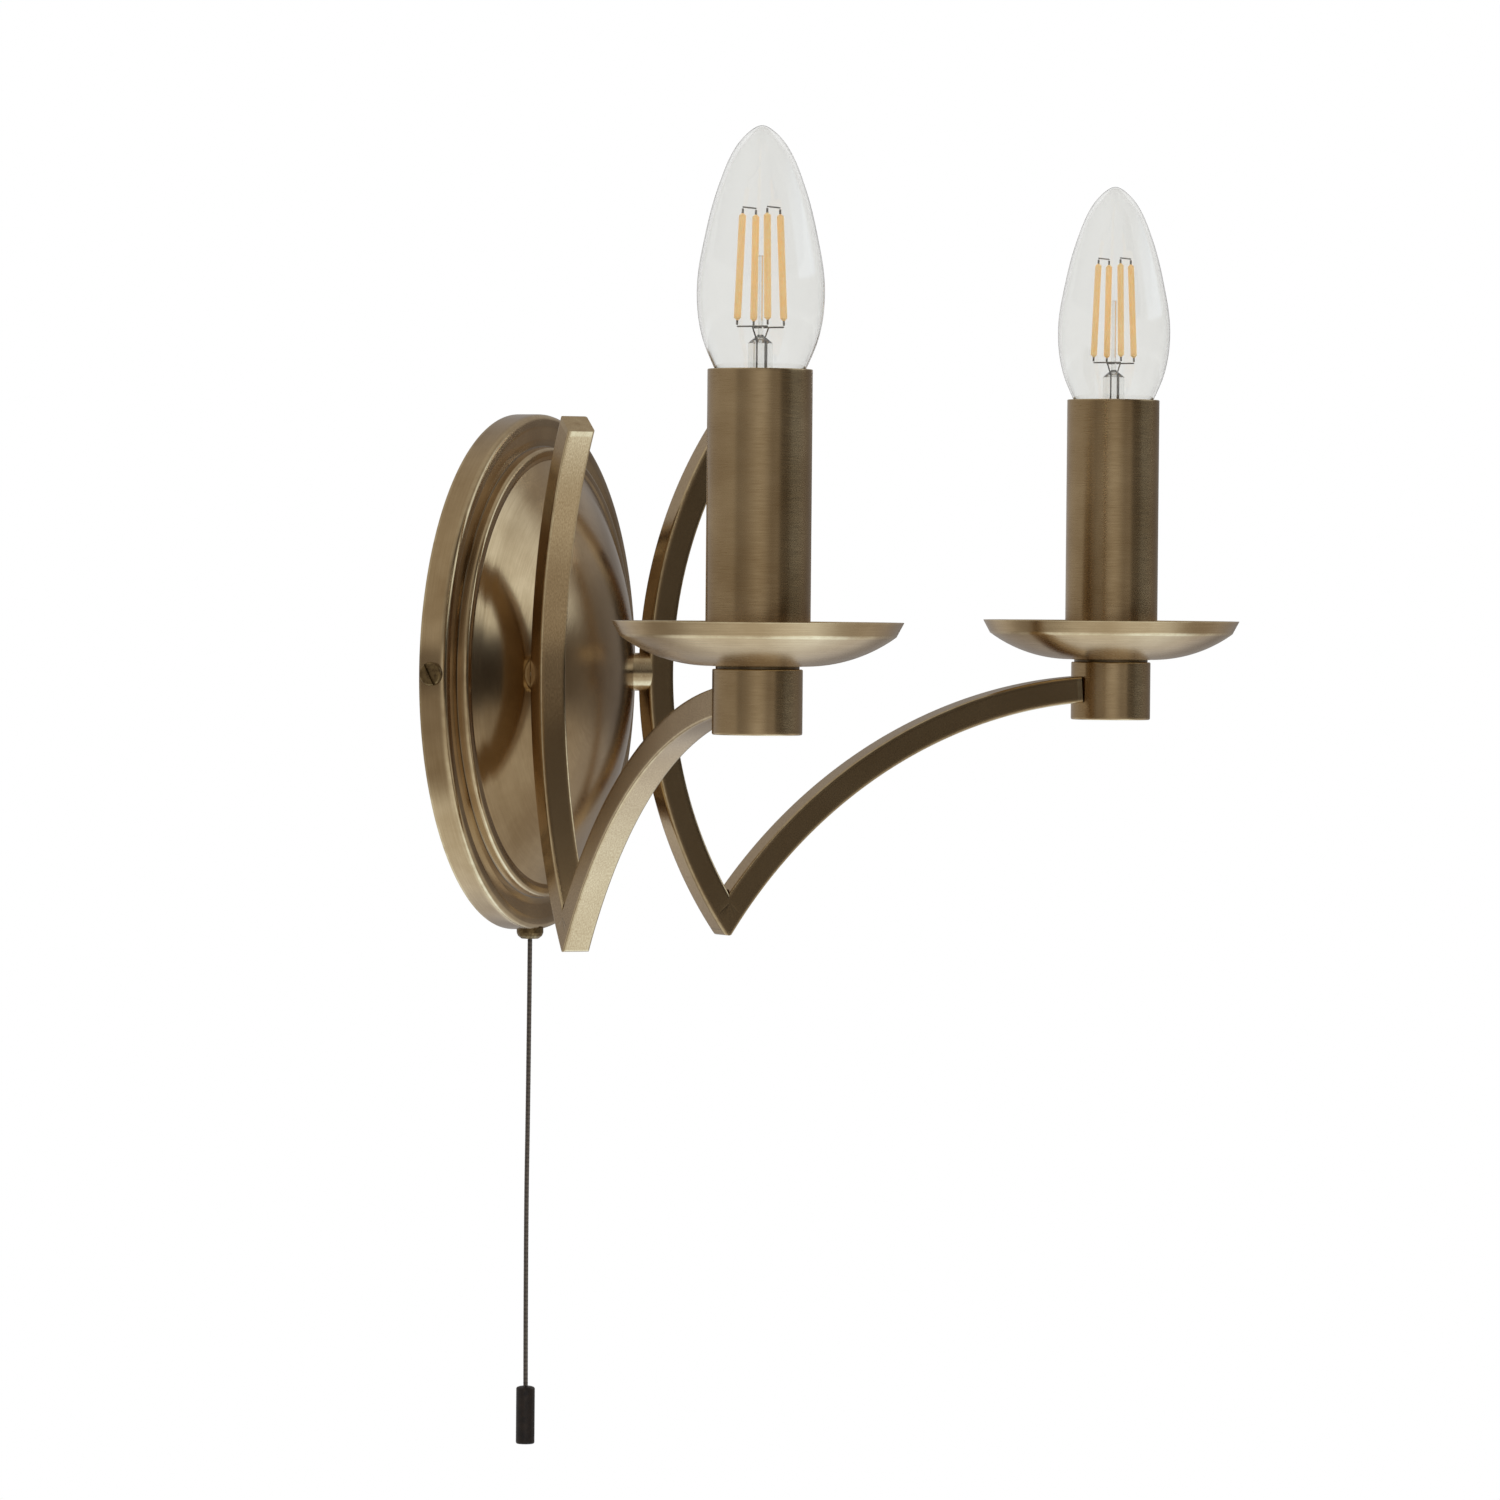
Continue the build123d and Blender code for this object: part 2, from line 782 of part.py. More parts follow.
def lower_joins():
    """Ends of the two wires that join the filaments' feet in pairs."""
    joins = []
    for first, second in ((1, 2), (3, 0)):
        a = Vector(*filament_ends(first)[1]) - Vector(0, 0, 2 * lead_radius)
        b = Vector(*filament_ends(second)[1]) - Vector(0, 0, 2 * lead_radius)
        joins.append((a, b))
    return joins


def lead_feet():
    """Start of each lead in the stem's pinch, and the middle of the wire that it meets."""
    feet = []
    for a, b in lower_joins():
        middle = (a + b) * 0.5
        pinch_z = tube_top_z + stem_top - 0.6
        feet.append((Vector(middle.X * 0.35, middle.Y * 0.35, pinch_z), middle))
    return feet


def make_leads():
    """Wires that carry the filaments: pairs joined at the top, two leads at the foot."""
    wires = []
    above = 2 * lead_radius
    for first, second in ((0, 1), (2, 3)):
        a = Vector(*filament_ends(first)[0]) + Vector(0, 0, above)
        b = Vector(*filament_ends(second)[0]) + Vector(0, 0, above)
        wires.append(rod(lead_radius, a, b))
    for (a, b), (foot, middle) in zip(lower_joins(), lead_feet()):
        wires.append(rod(lead_radius, a, b) + rod(lead_radius, foot, middle))
    return Compound(children=[s for w in wires for s in w.solids()])


# ---- pull switch ---------------------------------------------------------------------------

drum_x = -drum_radius
drum_z = switch_bottom_z + switch_height / 2


def make_switch_body():
    half = switch_thickness / 2
    top = switch_bottom_z + switch_height
    left = drum_x - switch_width / 2
    body = block((left, left + switch_width), (switch_y - half, switch_y + half), (switch_bottom_z, top))
    w = switch_wall
    inside = block(
        (left + w, left + switch_width - w),
        (switch_y - half + w, switch_y + half + 1),
        (switch_bottom_z + w, top - w),
    )
    body -= inside
    pin_ends = [(drum_x, switch_y + way * (half - w), drum_z) for way in (-1, 1)]
    body += rod(drum_pin_radius, *pin_ends)
    nozzle_end = (0, switch_y, -plate_radius - 0.6 * ferrule_height)
    body += rod(nozzle_radius, (0, switch_y, switch_bottom_z), nozzle_end)
    body -= rod(nozzle_bore, (0, switch_y, switch_bottom_z + 1.5 * w), (0, switch_y, cord_exit_z - 1))
    return body


def make_switch_back():
    half = switch_thickness / 2
    top = switch_bottom_z + switch_height
    left = drum_x - switch_width / 2
    w = switch_wall
    gap = fit_clearance
    back = block(
        (left + w + gap, left + switch_width - w - gap),
        (switch_y + half - w, switch_y + half),
        (switch_bottom_z + w + gap, top - w - gap),
    )
    return back


def make_drum():
    """Switch drum that the cord turns against its spring."""
    drum = Cylinder(drum_radius - link_diameter / 2 - 0.1, drum_thickness)
    drum -= Cylinder(drum_pin_radius + fit_clearance, 2 * drum_thickness)
    drum -= Pos(0, drum_radius - 2.2, 0) * Box(1.2, 1.6, 2 * drum_thickness)
    place = Plane(origin=(drum_x, switch_y, drum_z), x_dir=(1, 0, 0), z_dir=(0, 1, 0))
    return place * drum


def make_link():
    """Inner end of the cord, from the drum down through the nozzle."""
    low = cord_exit_z + swing_clearance
    return rod(link_diameter / 2, (0, switch_y, low), (0, switch_y, drum_z))


def make_ferrule():
    """Domed nut under the rim that holds the switch's nozzle."""
    low = cord_exit_z
    nut = turned(
        [
            (nozzle_bore + 0.1, low),
            (0.62 * ferrule_radius, low),
            (0.9 * ferrule_radius, low + 0.3 * ferrule_height),
            (ferrule_radius, low + 0.65 * ferrule_height),
            (ferrule_radius, low + ferrule_height + 0.6),
            (nozzle_radius + thread_clearance, low + ferrule_height + 0.6),
            (nozzle_radius + thread_clearance, low + 0.35 * ferrule_height),
            (nozzle_bore + 0.1, low + 0.35 * ferrule_height),
        ]
    )
    rim = Rot(90, 0, 0) * Cylinder(plate_radius, 4 * rim_depth)
    return Pos(0, switch_y, 0) * nut - rim


def make_weight():
    x, y, z = cord_route[-1]
    body = Pos(x, y, z - weight_length / 2) * Cylinder(weight_radius, weight_length)
    return fillet(body.edges(), 0.6)


# ---- wires and terminals ---------------------------------------------------------------------


def make_terminal_block():
    low = -strap_thickness
    x = (block_x - block_length / 2, block_x + block_length / 2)
    body = block(x, (low - block_height, low), (-block_width / 2, block_width / 2))
    pitch = block_length / 3
    wire_y = low - block_wire_depth
    screw_y = wire_y - block_wire_bore - 0.7
    for way in (-1, 0, 1):
        place = block_x + way * pitch
        body -= rod(block_wire_bore, (place, wire_y, -block_width), (place, wire_y, block_width))
        for end in (-1, 1):
            z = end * block_width / 4
            body -= rod(block_screw_radius, (place, screw_y, z), (place, low - block_height - 1, z))
    for end in (-1, 1):
        z = end * block_width / 4
        body += rod(block_peg_radius, (block_x, low, z), (block_x, 0, z))
    return body


def make_terminal_screws():
    low = -strap_thickness
    pitch = block_length / 3
    screw_y = low - block_wire_depth - block_wire_bore - 0.7
    screws = []
    for way in (-1, 0, 1):
        for end in (-1, 1):
            z = end * block_width / 4
            place = block_x + way * pitch
            top = (place, low - block_height + 0.6, z)
            screws.append(rod(block_screw_radius - fit_clearance, (place, screw_y, z), top))
    return Compound(children=screws)


def make_earth_screw():
    screw = slotted_screw(side_screw_radius, strap_thickness + 1.5, 3.5, 1.8)
    washer = ring(4.5, side_screw_radius + thread_clearance, -0.8, 0)
    place = Plane(
        origin=(earth_screw_x, -strap_thickness - 0.8, 0), x_dir=(1, 0, 0), z_dir=(0, -1, 0)
    )
    return place * (screw + washer)


def wire_route(side):
    """Points of the lamp wire from the terminals through the arm to the lampholder."""
    frame = arm_frame(side)
    way = block_x - block_length / 3
    wire_y = -strap_thickness - block_wire_depth
    end_z = side * block_width / 4
    entry = frame.from_local_coords(Vector(bow_reach - half_bar - nipple_inner_end - 7, 0, 0))
    points = [Vector(way, wire_y, end_z), Vector(way, wire_y, 4 * end_z)]
    if side > 0:
        points.append(Vector(way - 9.5, wire_y - 3.0, 19.0))
        points.append(Vector(entry.X - 1.5, entry.Y + 2.5, 11.0))
    else:
        points.append(Vector(32.0, wire_y - 2.5, -22.0))
        points.append(Vector(14.0, wire_y - 4.5, -24.0))
        points.append(Vector(-5.0, wire_y - 5.5, -21.5))
        points.append(Vector(entry.X + 7.0, entry.Y + 1.0, -11.0))
    points.append(entry)
    drop = nipple_bore - wire_diameter / 2 - 0.3
    corner = bow_reach + 1.6
    arm_points = [(corner, drop), (corner + 0.2, -10.0)]
    lowest = math.degrees(math.asin(v_centre[1] / bow_radius))
    for share in (0.36, 0.57, 0.78, 0.93):
        arm_points.append(bow_point(lowest * share))
    arm_points.append((v_centre[0] - 2.5, v_centre[1] + 1.0))
    arm_points.append((v_centre[0] + 2.5, v_centre[1] + 1.0))
    span = lamp_reach - cup_radius - v_centre[0]
    for share in (0.06, 0.18, 0.34, 0.51, 0.68, 0.85, 1.0):
        arm_points.append(branch_point(v_centre[0] + share * span))
    arm_points.append((lamp_reach, branch_crest_z - 0.6))
    arm_points.append((lamp_reach, holder_bottom_z + holder_web_z - 1))
    route = points + [frame.from_local_coords(Vector(u, z, 0)) for u, z in arm_points]
    return [tuple(p) for p in route]


def make_wire(side):
    return tube_along(wire_route(side), wire_diameter)


def lead_route(way):
    """Points of one switch lead from the switch's top to its terminal."""
    wire_y = -strap_thickness - block_wire_depth
    top = switch_bottom_z + switch_height
    start_x = drum_x + 4.0 * way
    end_x = block_x + way * block_length / 3
    return [
        (start_x, switch_y, top),
        (start_x, switch_y, top + 7.0),
        (start_x + 12.0, switch_y - 1.5, top + 14.0),
        (end_x - 16.0, wire_y - 1.0, -block_width / 2 - 19.0),
        (end_x, wire_y, -block_width / 2 - 11.0),
        (end_x, wire_y, -block_width / 4),
    ]


def make_leads_of_switch():
    return [tube_along(lead_route(way), lead_diameter) for way in (0, 1)]


# ---- build every node ------------------------------------------------------------------------

save("wall_strap", make_strap())
save("plate_cover", make_cover())
save("plate_side_screws", make_side_screws())
arm_nuts, arm_washers = make_nuts()
save("arm_nuts", arm_nuts)
save("arm_washers", arm_washers)

for name, side in (("left", -1), ("right", 1)):
    upright, branch = make_arm(side)
    save(f"{name}_arm_upright", upright)
    save(f"{name}_arm_branch", branch)
    save(f"{name}_arm_boss", make_boss(side))
    save(f"{name}_arm_nipple", make_nipple(side))
    save(f"{name}_lamp_cup", at_lamp(side, make_cup()) - wire_hole(side))
    save(f"{name}_cup_collar", at_lamp(side, make_collar()))
    save(f"{name}_drip_dish", at_lamp(side, make_dish()))
    save(f"{name}_candle_tube", at_lamp(side, make_candle_tube()))
    save(f"{name}_lampholder_body", at_lamp(side, make_holder()))
    save(f"{name}_lampholder_sleeve", at_lamp(side, make_sleeve()))
    save(f"{name}_lampholder_contact", at_lamp(side, make_contact()))
    save(f"{name}_lampholder_nipple", at_lamp(side, make_holder_nipple()))
    save(f"{name}_lampholder_nuts", at_lamp(side, make_holder_nuts()))
    save(f"{name}_bulb_glass", at_lamp(side, make_glass()))
    save(f"{name}_bulb_cap", at_lamp(side, make_bulb_cap()))
    save(f"{name}_bulb_insulator", at_lamp(side, make_bulb_insulator()))
    save(f"{name}_bulb_tip_contact", at_lamp(side, make_bulb_tip()))
    save(f"{name}_bulb_stem", at_lamp(side, make_bulb_stem()))
    save(f"{name}_bulb_filaments", at_lamp(side, make_filaments()))
    save(f"{name}_bulb_leads", at_lamp(side, make_leads()))
    wire, wire_length, wire_radii = make_wire(side)
    print(name, "wire length", round(wire_length, 1), "radii", [round(r, 1) for r in wire_radii])
    section = math.pi * wire_diameter**2 / 4
    print("  volume", round(wire.volume, 1), "section x length", round(wire_length * section, 1))
    save(f"{name}_lamp_wire", wire)

leads = make_leads_of_switch()
for lead, lead_length, lead_radii in leads:
    print("switch lead length", round(lead_length, 1), "radii", [round(r, 1) for r in lead_radii])
save("switch_leads", Compound(children=[lead[0] for lead in leads]))
save("terminal_block", make_terminal_block())
save("terminal_screws", make_terminal_screws())
save("earth_screw", make_earth_screw())
save("switch_body", make_switch_body())
save("switch_back", make_switch_back())
save("switch_drum", make_drum())
save("switch_ferrule", make_ferrule())
save("cord_link", make_link())
cord, cord_length, cord_radii = tube_along(cord_route, cord_diameter)
print("pull cord length", round(cord_length, 2), "radii", [round(r, 1) for r in cord_radii])
section = math.pi * cord_diameter**2 / 4
print("  volume", round(cord.volume, 2), "section x length", round(cord_length * section, 2))
save("pull_cord", cord)
save("pull_weight", make_weight())
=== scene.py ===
# %% [markdown]
# # A double arm candle wall light
# The light hangs on a wall at Y = 0 and stands out towards -Y.  Its metal is brass with a brown
# antique lacquer, and the photograph shows it from its left, almost level.  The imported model
# comes in first and stays where it is: every new surface is worked out in the same frame, in
# millimetres, and turned to metres when its mesh is made.

import json
import math

import bmesh
import bpy
import numpy as np
from mathutils import Matrix, Vector


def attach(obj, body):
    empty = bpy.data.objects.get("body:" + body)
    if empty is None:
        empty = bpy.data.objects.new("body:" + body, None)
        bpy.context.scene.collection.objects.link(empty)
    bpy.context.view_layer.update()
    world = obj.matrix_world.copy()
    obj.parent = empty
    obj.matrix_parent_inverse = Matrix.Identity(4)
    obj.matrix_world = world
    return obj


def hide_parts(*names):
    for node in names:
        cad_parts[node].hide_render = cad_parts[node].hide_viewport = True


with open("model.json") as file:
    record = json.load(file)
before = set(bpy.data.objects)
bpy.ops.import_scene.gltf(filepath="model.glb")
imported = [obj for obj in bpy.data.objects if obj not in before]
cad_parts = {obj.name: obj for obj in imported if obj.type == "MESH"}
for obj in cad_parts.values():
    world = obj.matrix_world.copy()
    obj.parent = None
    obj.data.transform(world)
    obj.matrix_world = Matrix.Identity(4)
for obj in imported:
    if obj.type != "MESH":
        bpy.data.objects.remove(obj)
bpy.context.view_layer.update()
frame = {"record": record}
MM = 0.001


# %% [markdown]
# ## The camera
# A long lens from far off keeps upright lines upright.  Its azimuth, height and distance were
# solved from the plate's outline and the two lamps, so the render and the photograph lie on each
# other.  The picture is 1500 pixels wide, and the focal length is known in pixels: divided by the
# width and multiplied by the 36 mm sensor it becomes millimetres.

# %% Camera
PHOTO_WIDTH = 1500
CAMERA_AZIMUTH = -69.72
CAMERA_ELEVATION = 1.22
CAMERA_ROLL = 0.5
CAMERA_DISTANCE = 2271.0
FOCAL_PIXELS = 7588.0
AIM_RIGHT = 69.4
AIM_UP = -22.8


def look_from(azimuth, elevation, roll, distance, right_shift, up_shift):
    """World matrix of a camera at an azimuth and elevation, moved sideways and up in its plane.

    Its own Z points back: (sin a cos e, -cos a cos e, sin e) for azimuth a and elevation e.
    """
    a, e, r = (math.radians(v) for v in (azimuth, elevation, roll))
    back = Vector((math.sin(a) * math.cos(e), -math.cos(a) * math.cos(e), math.sin(e)))
    right = Vector((math.cos(a), math.sin(a), 0))
    up = back.cross(right)
    place = back * distance + right * right_shift + up * up_shift
    turned_right = right * math.cos(r) + up * math.sin(r)
    turned_up = up * math.cos(r) - right * math.sin(r)
    rows = Matrix((turned_right, turned_up, back)).transposed().to_4x4()
    return Matrix.Translation(place * MM) @ rows


camera_data = bpy.data.cameras.new("camera")
camera_data.lens = FOCAL_PIXELS / PHOTO_WIDTH * 36.0
camera_data.sensor_width = 36.0
camera_data.clip_end = 50.0
camera = bpy.data.objects.new("camera", camera_data)
camera.matrix_world = look_from(
    CAMERA_AZIMUTH, CAMERA_ELEVATION, CAMERA_ROLL, CAMERA_DISTANCE, AIM_RIGHT, AIM_UP
)
bpy.context.scene.collection.objects.link(camera)
bpy.context.scene.camera = camera
bpy.context.scene.view_settings.view_transform = "Standard"
print("lens", round(camera_data.lens, 1), "mm")


# %% [markdown]
# ## One helper for nodes, one for colours
# A finish is a small tree of shader nodes.  `add` makes one node, sets its options and fills its
# sockets, by value or by a link.  Colours are written as they look on a screen, as hex values,
# and `tone` turns them into the linear numbers that light adds up in.


# %% Node and colour helpers
def add(tree, kind, inputs=(), **options):
    """Adds one shader node; its inputs are a dict by socket, or a list in the sockets' order.

    An input that is another node is linked to that node's first output.
    """
    made = tree.nodes.new("ShaderNode" + kind)
    for key, value in options.items():
        setattr(made, key, value)
    for key, value in inputs.items() if isinstance(inputs, dict) else enumerate(inputs):
        if isinstance(value, bpy.types.Node):
            value = value.outputs[0]
        if isinstance(value, bpy.types.NodeSocket):
            tree.links.new(value, made.inputs[key])
        else:
            made.inputs[key].default_value = value
    return made


def tone(hex_colour):
    """Linear RGBA of an sRGB hex colour.

    A part c becomes c / 12.92 up to 0.04045, and ((c + 0.055) / 1.055)^2.4 above.
    """
    parts = [int(hex_colour[i : i + 2], 16) / 255 for i in (1, 3, 5)]
    linear = [c / 12.92 if c <= 0.04045 else ((c + 0.055) / 1.055) ** 2.4 for c in parts]
    return (*linear, 1.0)


def new_material(name):
    """An empty material and its tree."""
    made = bpy.data.materials.new(name)
    made.use_nodes = True
    made.node_tree.nodes.clear()
    print("finish:", name)
    return made, made.node_tree


def finish_with(tree, shader_inputs):
    """Closes a tree with a Principled shader and the material output."""
    add(tree, "OutputMaterial", {"Surface": add(tree, "BsdfPrincipled", shader_inputs)})


print("the screen's middle grey is", round(tone("#808080")[0], 3), "of white in light")


# %% [markdown]
# ## The studio
# Satin metal shows little light of its own: it shows the room.  This room is a white sweep below,
# a dimmer room above, and at eye level screens with dark gaps between them, as the candle tubes
# and the plate mirror them.  Only reflections see it.  To the camera and through the glass
# the surroundings are plain white, and the lamps give a plain soft light.  Dim parts of a room
# are warm and brightly lit card is a little cool, so a screen's tint follows its level.

# %% Directions in the room
world = bpy.data.worlds.new("studio")
world.use_nodes = True
bpy.context.scene.world = world
sky = world.node_tree
sky.nodes.clear()
ray = add(sky, "LightPath").outputs
axes = add(sky, "SeparateXYZ", [add(sky, "TexCoord").outputs["Generated"]]).outputs
height = axes["Z"]
front = add(sky, "Math", [axes["Y"], -1.0], operation="MULTIPLY")
azimuth = add(sky, "Math", [axes["X"], front], operation="ARCTAN2")
around = add(sky, "MapRange", [azimuth, -math.pi, math.pi])
print("nodes for height and way round", len(sky.nodes))

# %% Screens round the room
# each list goes round the object: azimuth in degrees from the front, and the level there
LEVEL_SCREENS = [
    (-180, 0.42),
    (-128, 0.40),
    (-118, 0.20),
    (-98, 0.30),
    (-72, 0.62),
    (-60, 0.60),
    (-42, 0.30),
    (-27, 0.34),
    (-20, 0.06),
    (-6, 0.03),
    (22, 0.05),
    (32, 0.10),
    (44, 0.17),
    (56, 0.19),
    (72, 0.20),
    (92, 0.24),
    (118, 0.42),
    (180, 0.42),
]
ROOM_ABOVE = [
    (-180, 0.58),
    (-127, 0.64),
    (-105, 0.52),
    (-80, 0.34),
    (-58, 0.30),
    (-45, 0.10),
    (-20, 0.09),
    (-6, 0.36),
    (55, 0.40),
    (85, 0.42),
    (110, 0.36),
    (180, 0.58),
]
SWEEP_EDGE = [
    (-180, 0.60),
    (-125, 0.50),
    (-112, 0.36),
    (-88, 0.50),
    (-67, 0.60),
    (-10, 0.52),
    (7, 0.30),
    (22, 0.62),
    (60, 0.50),
    (92, 0.30),
    (135, 0.45),
    (160, 0.75),
]
SWEEP_MIDDLE = [
    (-180, 0.32),
    (-150, 0.35),
    (-112, 0.50),
    (-75, 0.75),
    (-20, 0.90),
    (8, 0.60),
    (34, 0.45),
    (75, 0.80),
    (105, 0.85),
    (128, 0.45),
    (180, 0.32),
]
SWEEP_BELOW = [
    (-180, 1.15),
    (-73, 0.80),
    (-30, 1.10),
    (0, 1.40),
    (65, 1.45),
    (105, 1.05),
    (180, 1.15),
]
CEILING = [(-180, 0.52), (180, 0.52)]
print("screens at eye level", len(LEVEL_SCREENS))


# %% Rings laid over each other
def lit(level):
    """Colour of card lit to a level: dim parts of the room are warm, bright ones cool."""
    green = 0.9 + 0.13 * level + 0.07 * level**2
    blue = 0.85 + 0.1 * level + 0.27 * level**2
    return (level, level * green, level * blue, 1)


def sine(elevation):
    """Sine of an elevation in degrees, which is a direction's Z."""
    return math.sin(math.radians(elevation))


# the rings in the order they are laid over each other, each with the elevations between which
# it comes in; the first one is all round
RINGS = [
    (None, LEVEL_SCREENS),
    ((-5, -10), SWEEP_EDGE),
    ((-24, -38), SWEEP_MIDDLE),
    ((-42, -58), SWEEP_BELOW),
    ((6, 14), ROOM_ABOVE),
    ((48, 75), CEILING),
]
for comes_in, stops in RINGS:
    ring = add(sky, "ValToRGB", [around])
    elements = ring.color_ramp.elements
    for index, (degrees, level) in enumerate(stops):
        stop = elements[index] if index < 2 else elements.new(1)
        stop.position = (degrees + 180) / 360
        stop.color = lit(level)
    if comes_in:
        low, high = map(sine, comes_in)
        share = add(sky, "MapRange", [height, low, high], interpolation_type="SMOOTHSTEP")
        room = add(sky, "MixRGB", [share, room, ring])
    else:
        room = ring
print("rings in the room", len(RINGS))

# %% Softbox
# one softbox on the right, just above eye level, which the dome mirrors on its upper left: it
# fades in and out between these elevations and these shares of the way round
SOFTBOX_LEVEL = 1.2
SOFTBOX_SIDES = [
    (height, sine(7), sine(10)),
    (height, sine(42), sine(18)),
    (around, 178 / 360, 188 / 360),
    (around, 238 / 360, 220 / 360),
]
in_softbox = 1.0
for side in SOFTBOX_SIDES:
    share = add(sky, "MapRange", side, interpolation_type="SMOOTHSTEP")
    in_softbox = add(sky, "Math", [in_softbox, share], operation="MULTIPLY")
room = add(sky, "MixRGB", [in_softbox, room, lit(SOFTBOX_LEVEL)])
print("softbox", [round(v, 2) for v in lit(SOFTBOX_LEVEL)[:3]])

# %% What camera, glass and metal see
PLAIN_GREY = (0.62, 0.62, 0.62, 1)
WHITE = (1, 1, 1, 1)
mirrored = add(sky, "MixRGB", [ray["Is Glossy Ray"], PLAIN_GREY, room])
plain = add(
    sky, "Math", [ray["Is Camera Ray"], ray["Is Transmission Ray"]], operation="MAXIMUM"
)
seen = add(sky, "MixRGB", [plain, mirrored, WHITE])
add(sky, "OutputWorld", [add(sky, "Background", [seen, 1.0])])
print("world nodes", len(sky.nodes))


# %% Soft lamps and a pale floor far below
def soft_lamp(name, place, target, size, watts):
    """A square lamp that lights but isn't mirrored, since metal shows the world's screens."""
    data = bpy.data.lights.new(name, "AREA")
    data.size = size
    data.energy = watts
    lamp = bpy.data.objects.new(name, data)
    lamp.location = place
    lamp.rotation_euler = (Vector(target) - Vector(place)).to_track_quat("-Z", "Y").to_euler()
    lamp.visible_glossy = False
    lamp.visible_transmission = False
    bpy.context.scene.collection.objects.link(lamp)


MIDDLE = (0, -0.08, 0)
soft_lamp("key", (-1.3, -1.2, 1.2), MIDDLE, 1.2, 14)
soft_lamp("fill", (1.2, -1.6, 0.4), MIDDLE, 1.4, 8)

FLOOR_DROP = 1.1
FLOOR_HALF = 6
floor_corners = [
    (x * FLOOR_HALF, y * FLOOR_HALF, -FLOOR_DROP) for x, y in ((-1, -1), (1, -1), (1, 1), (-1, 1))
]
floor_mesh = bpy.data.meshes.new("studio_floor")
floor_mesh.from_pydata(floor_corners, [], [(0, 1, 2, 3)])
studio_floor = bpy.data.objects.new("studio_floor", floor_mesh)
studio_floor.visible_glossy = False
bpy.context.scene.collection.objects.link(studio_floor)
floor_paint, tree = new_material("pale matt floor paint")
finish_with(tree, {"Base Color": tone("#F4F3F1"), "Roughness": 0.9})
floor_mesh.materials.append(floor_paint)
print("floor", FLOOR_DROP, "m below the wall light's middle")


# %% [markdown]
# ## Surfaces from arrays
# Nearly every piece of this light was turned on a lathe, spun over a former or bent from square
# tube.  A turned or spun piece is a profile carried round an axis; a bar is a square carried
# along an arc.  Both are grids of points that numpy works out at once.  Each grid also gets a UV
# map in plain measures, the share of a turn and the metres along, which the brushed grain follows.


# %% Grid to mesh
MERGE_WITHIN = 2e-7  # metres


def sheet_of(points, around, along):
    """Corner points, quads and corner UVs of a grid of points (rows, columns, 3).

    Columns join up with the first one, so `around` has one column more than the points.
    """
    rows, columns = points.shape[:2]
    i, j = np.meshgrid(np.arange(rows - 1), np.arange(columns), indexing="ij")
    k = (j + 1) % columns
    quads = [i * columns + j, i * columns + k, (i + 1) * columns + k, (i + 1) * columns + j]
    corner_rows, corner_columns = [i, i, i + 1, i + 1], [j, j + 1, j + 1, j]
    uv = [
        np.stack([around[r, c], along[r, c]], -1) for r, c in zip(corner_rows, corner_columns)
    ]
    return points.reshape(-1, 3), np.stack(quads, -1).reshape(-1, 4), np.stack(uv, 2).reshape(-1, 2)


def bend_of(mesh):
    """How far each vertex stands proud: minus the mean of (unit edge . normal), hollows below 0."""
    count = len(mesh.vertices)
    ends = np.empty(2 * len(mesh.edges), np.int32)
    places, normals = np.empty(3 * count, np.float32), np.empty(3 * count, np.float32)
    mesh.edges.foreach_get("vertices", ends)
    mesh.vertices.foreach_get("co", places)
    mesh.vertex_normals.foreach_get("vector", normals)
    start, end = ends.reshape(-1, 2).T
    places, normals = places.reshape(-1, 3), normals.reshape(-1, 3)
    way = places[end] - places[start]
    way /= np.linalg.norm(way, axis=1)[:, None] + 1e-12
    total = np.bincount(start, -(way * normals[start]).sum(1), count)
    total += np.bincount(end, (way * normals[end]).sum(1), count)
    return total / np.maximum(np.bincount(ends, minlength=count), 1)


def surface(name, grids, body, material, replaced=(), sharp=38):
    """One smooth mesh from grids of (points in millimetres, around, along).

    Doubles merge, so a row whose points all lie on an axis closes to a pole.
    """
    points, quads, uvs, count = [], [], [], 0
    for grid in grids:
        p, q, uv = sheet_of(*grid)
        points.append(p)
        quads.append(q + count)
        uvs.append(uv)
        count += len(p)
    mesh = bpy.data.meshes.new(name)
    mesh.from_pydata((np.vstack(points) * MM).tolist(), [], np.vstack(quads).tolist())
    layer = mesh.uv_layers.new(name="measure")
    layer.data.foreach_set("uv", np.vstack(uvs).astype(np.float32).ravel())
    merged = bmesh.new()
    merged.from_mesh(mesh)
    bmesh.ops.remove_doubles(merged, verts=merged.verts, dist=MERGE_WITHIN)
    bmesh.ops.recalc_face_normals(merged, faces=merged.faces)
    merged.to_mesh(mesh)
    merged.free()
    mesh.polygons.foreach_set("use_smooth", np.ones(len(mesh.polygons), bool))
    bend = mesh.attributes.new("bend", "FLOAT", "POINT")
    bend.data.foreach_set("value", bend_of(mesh).astype(np.float32))
    mesh.set_sharp_from_angle(angle=math.radians(sharp))
    mesh.materials.append(material)
    piece = bpy.data.objects.new(name, mesh)
    bpy.context.scene.collection.objects.link(piece)
    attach(piece, body)
    if replaced:
        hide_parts(*replaced)
    print(name, len(mesh.polygons), "faces")
    return piece


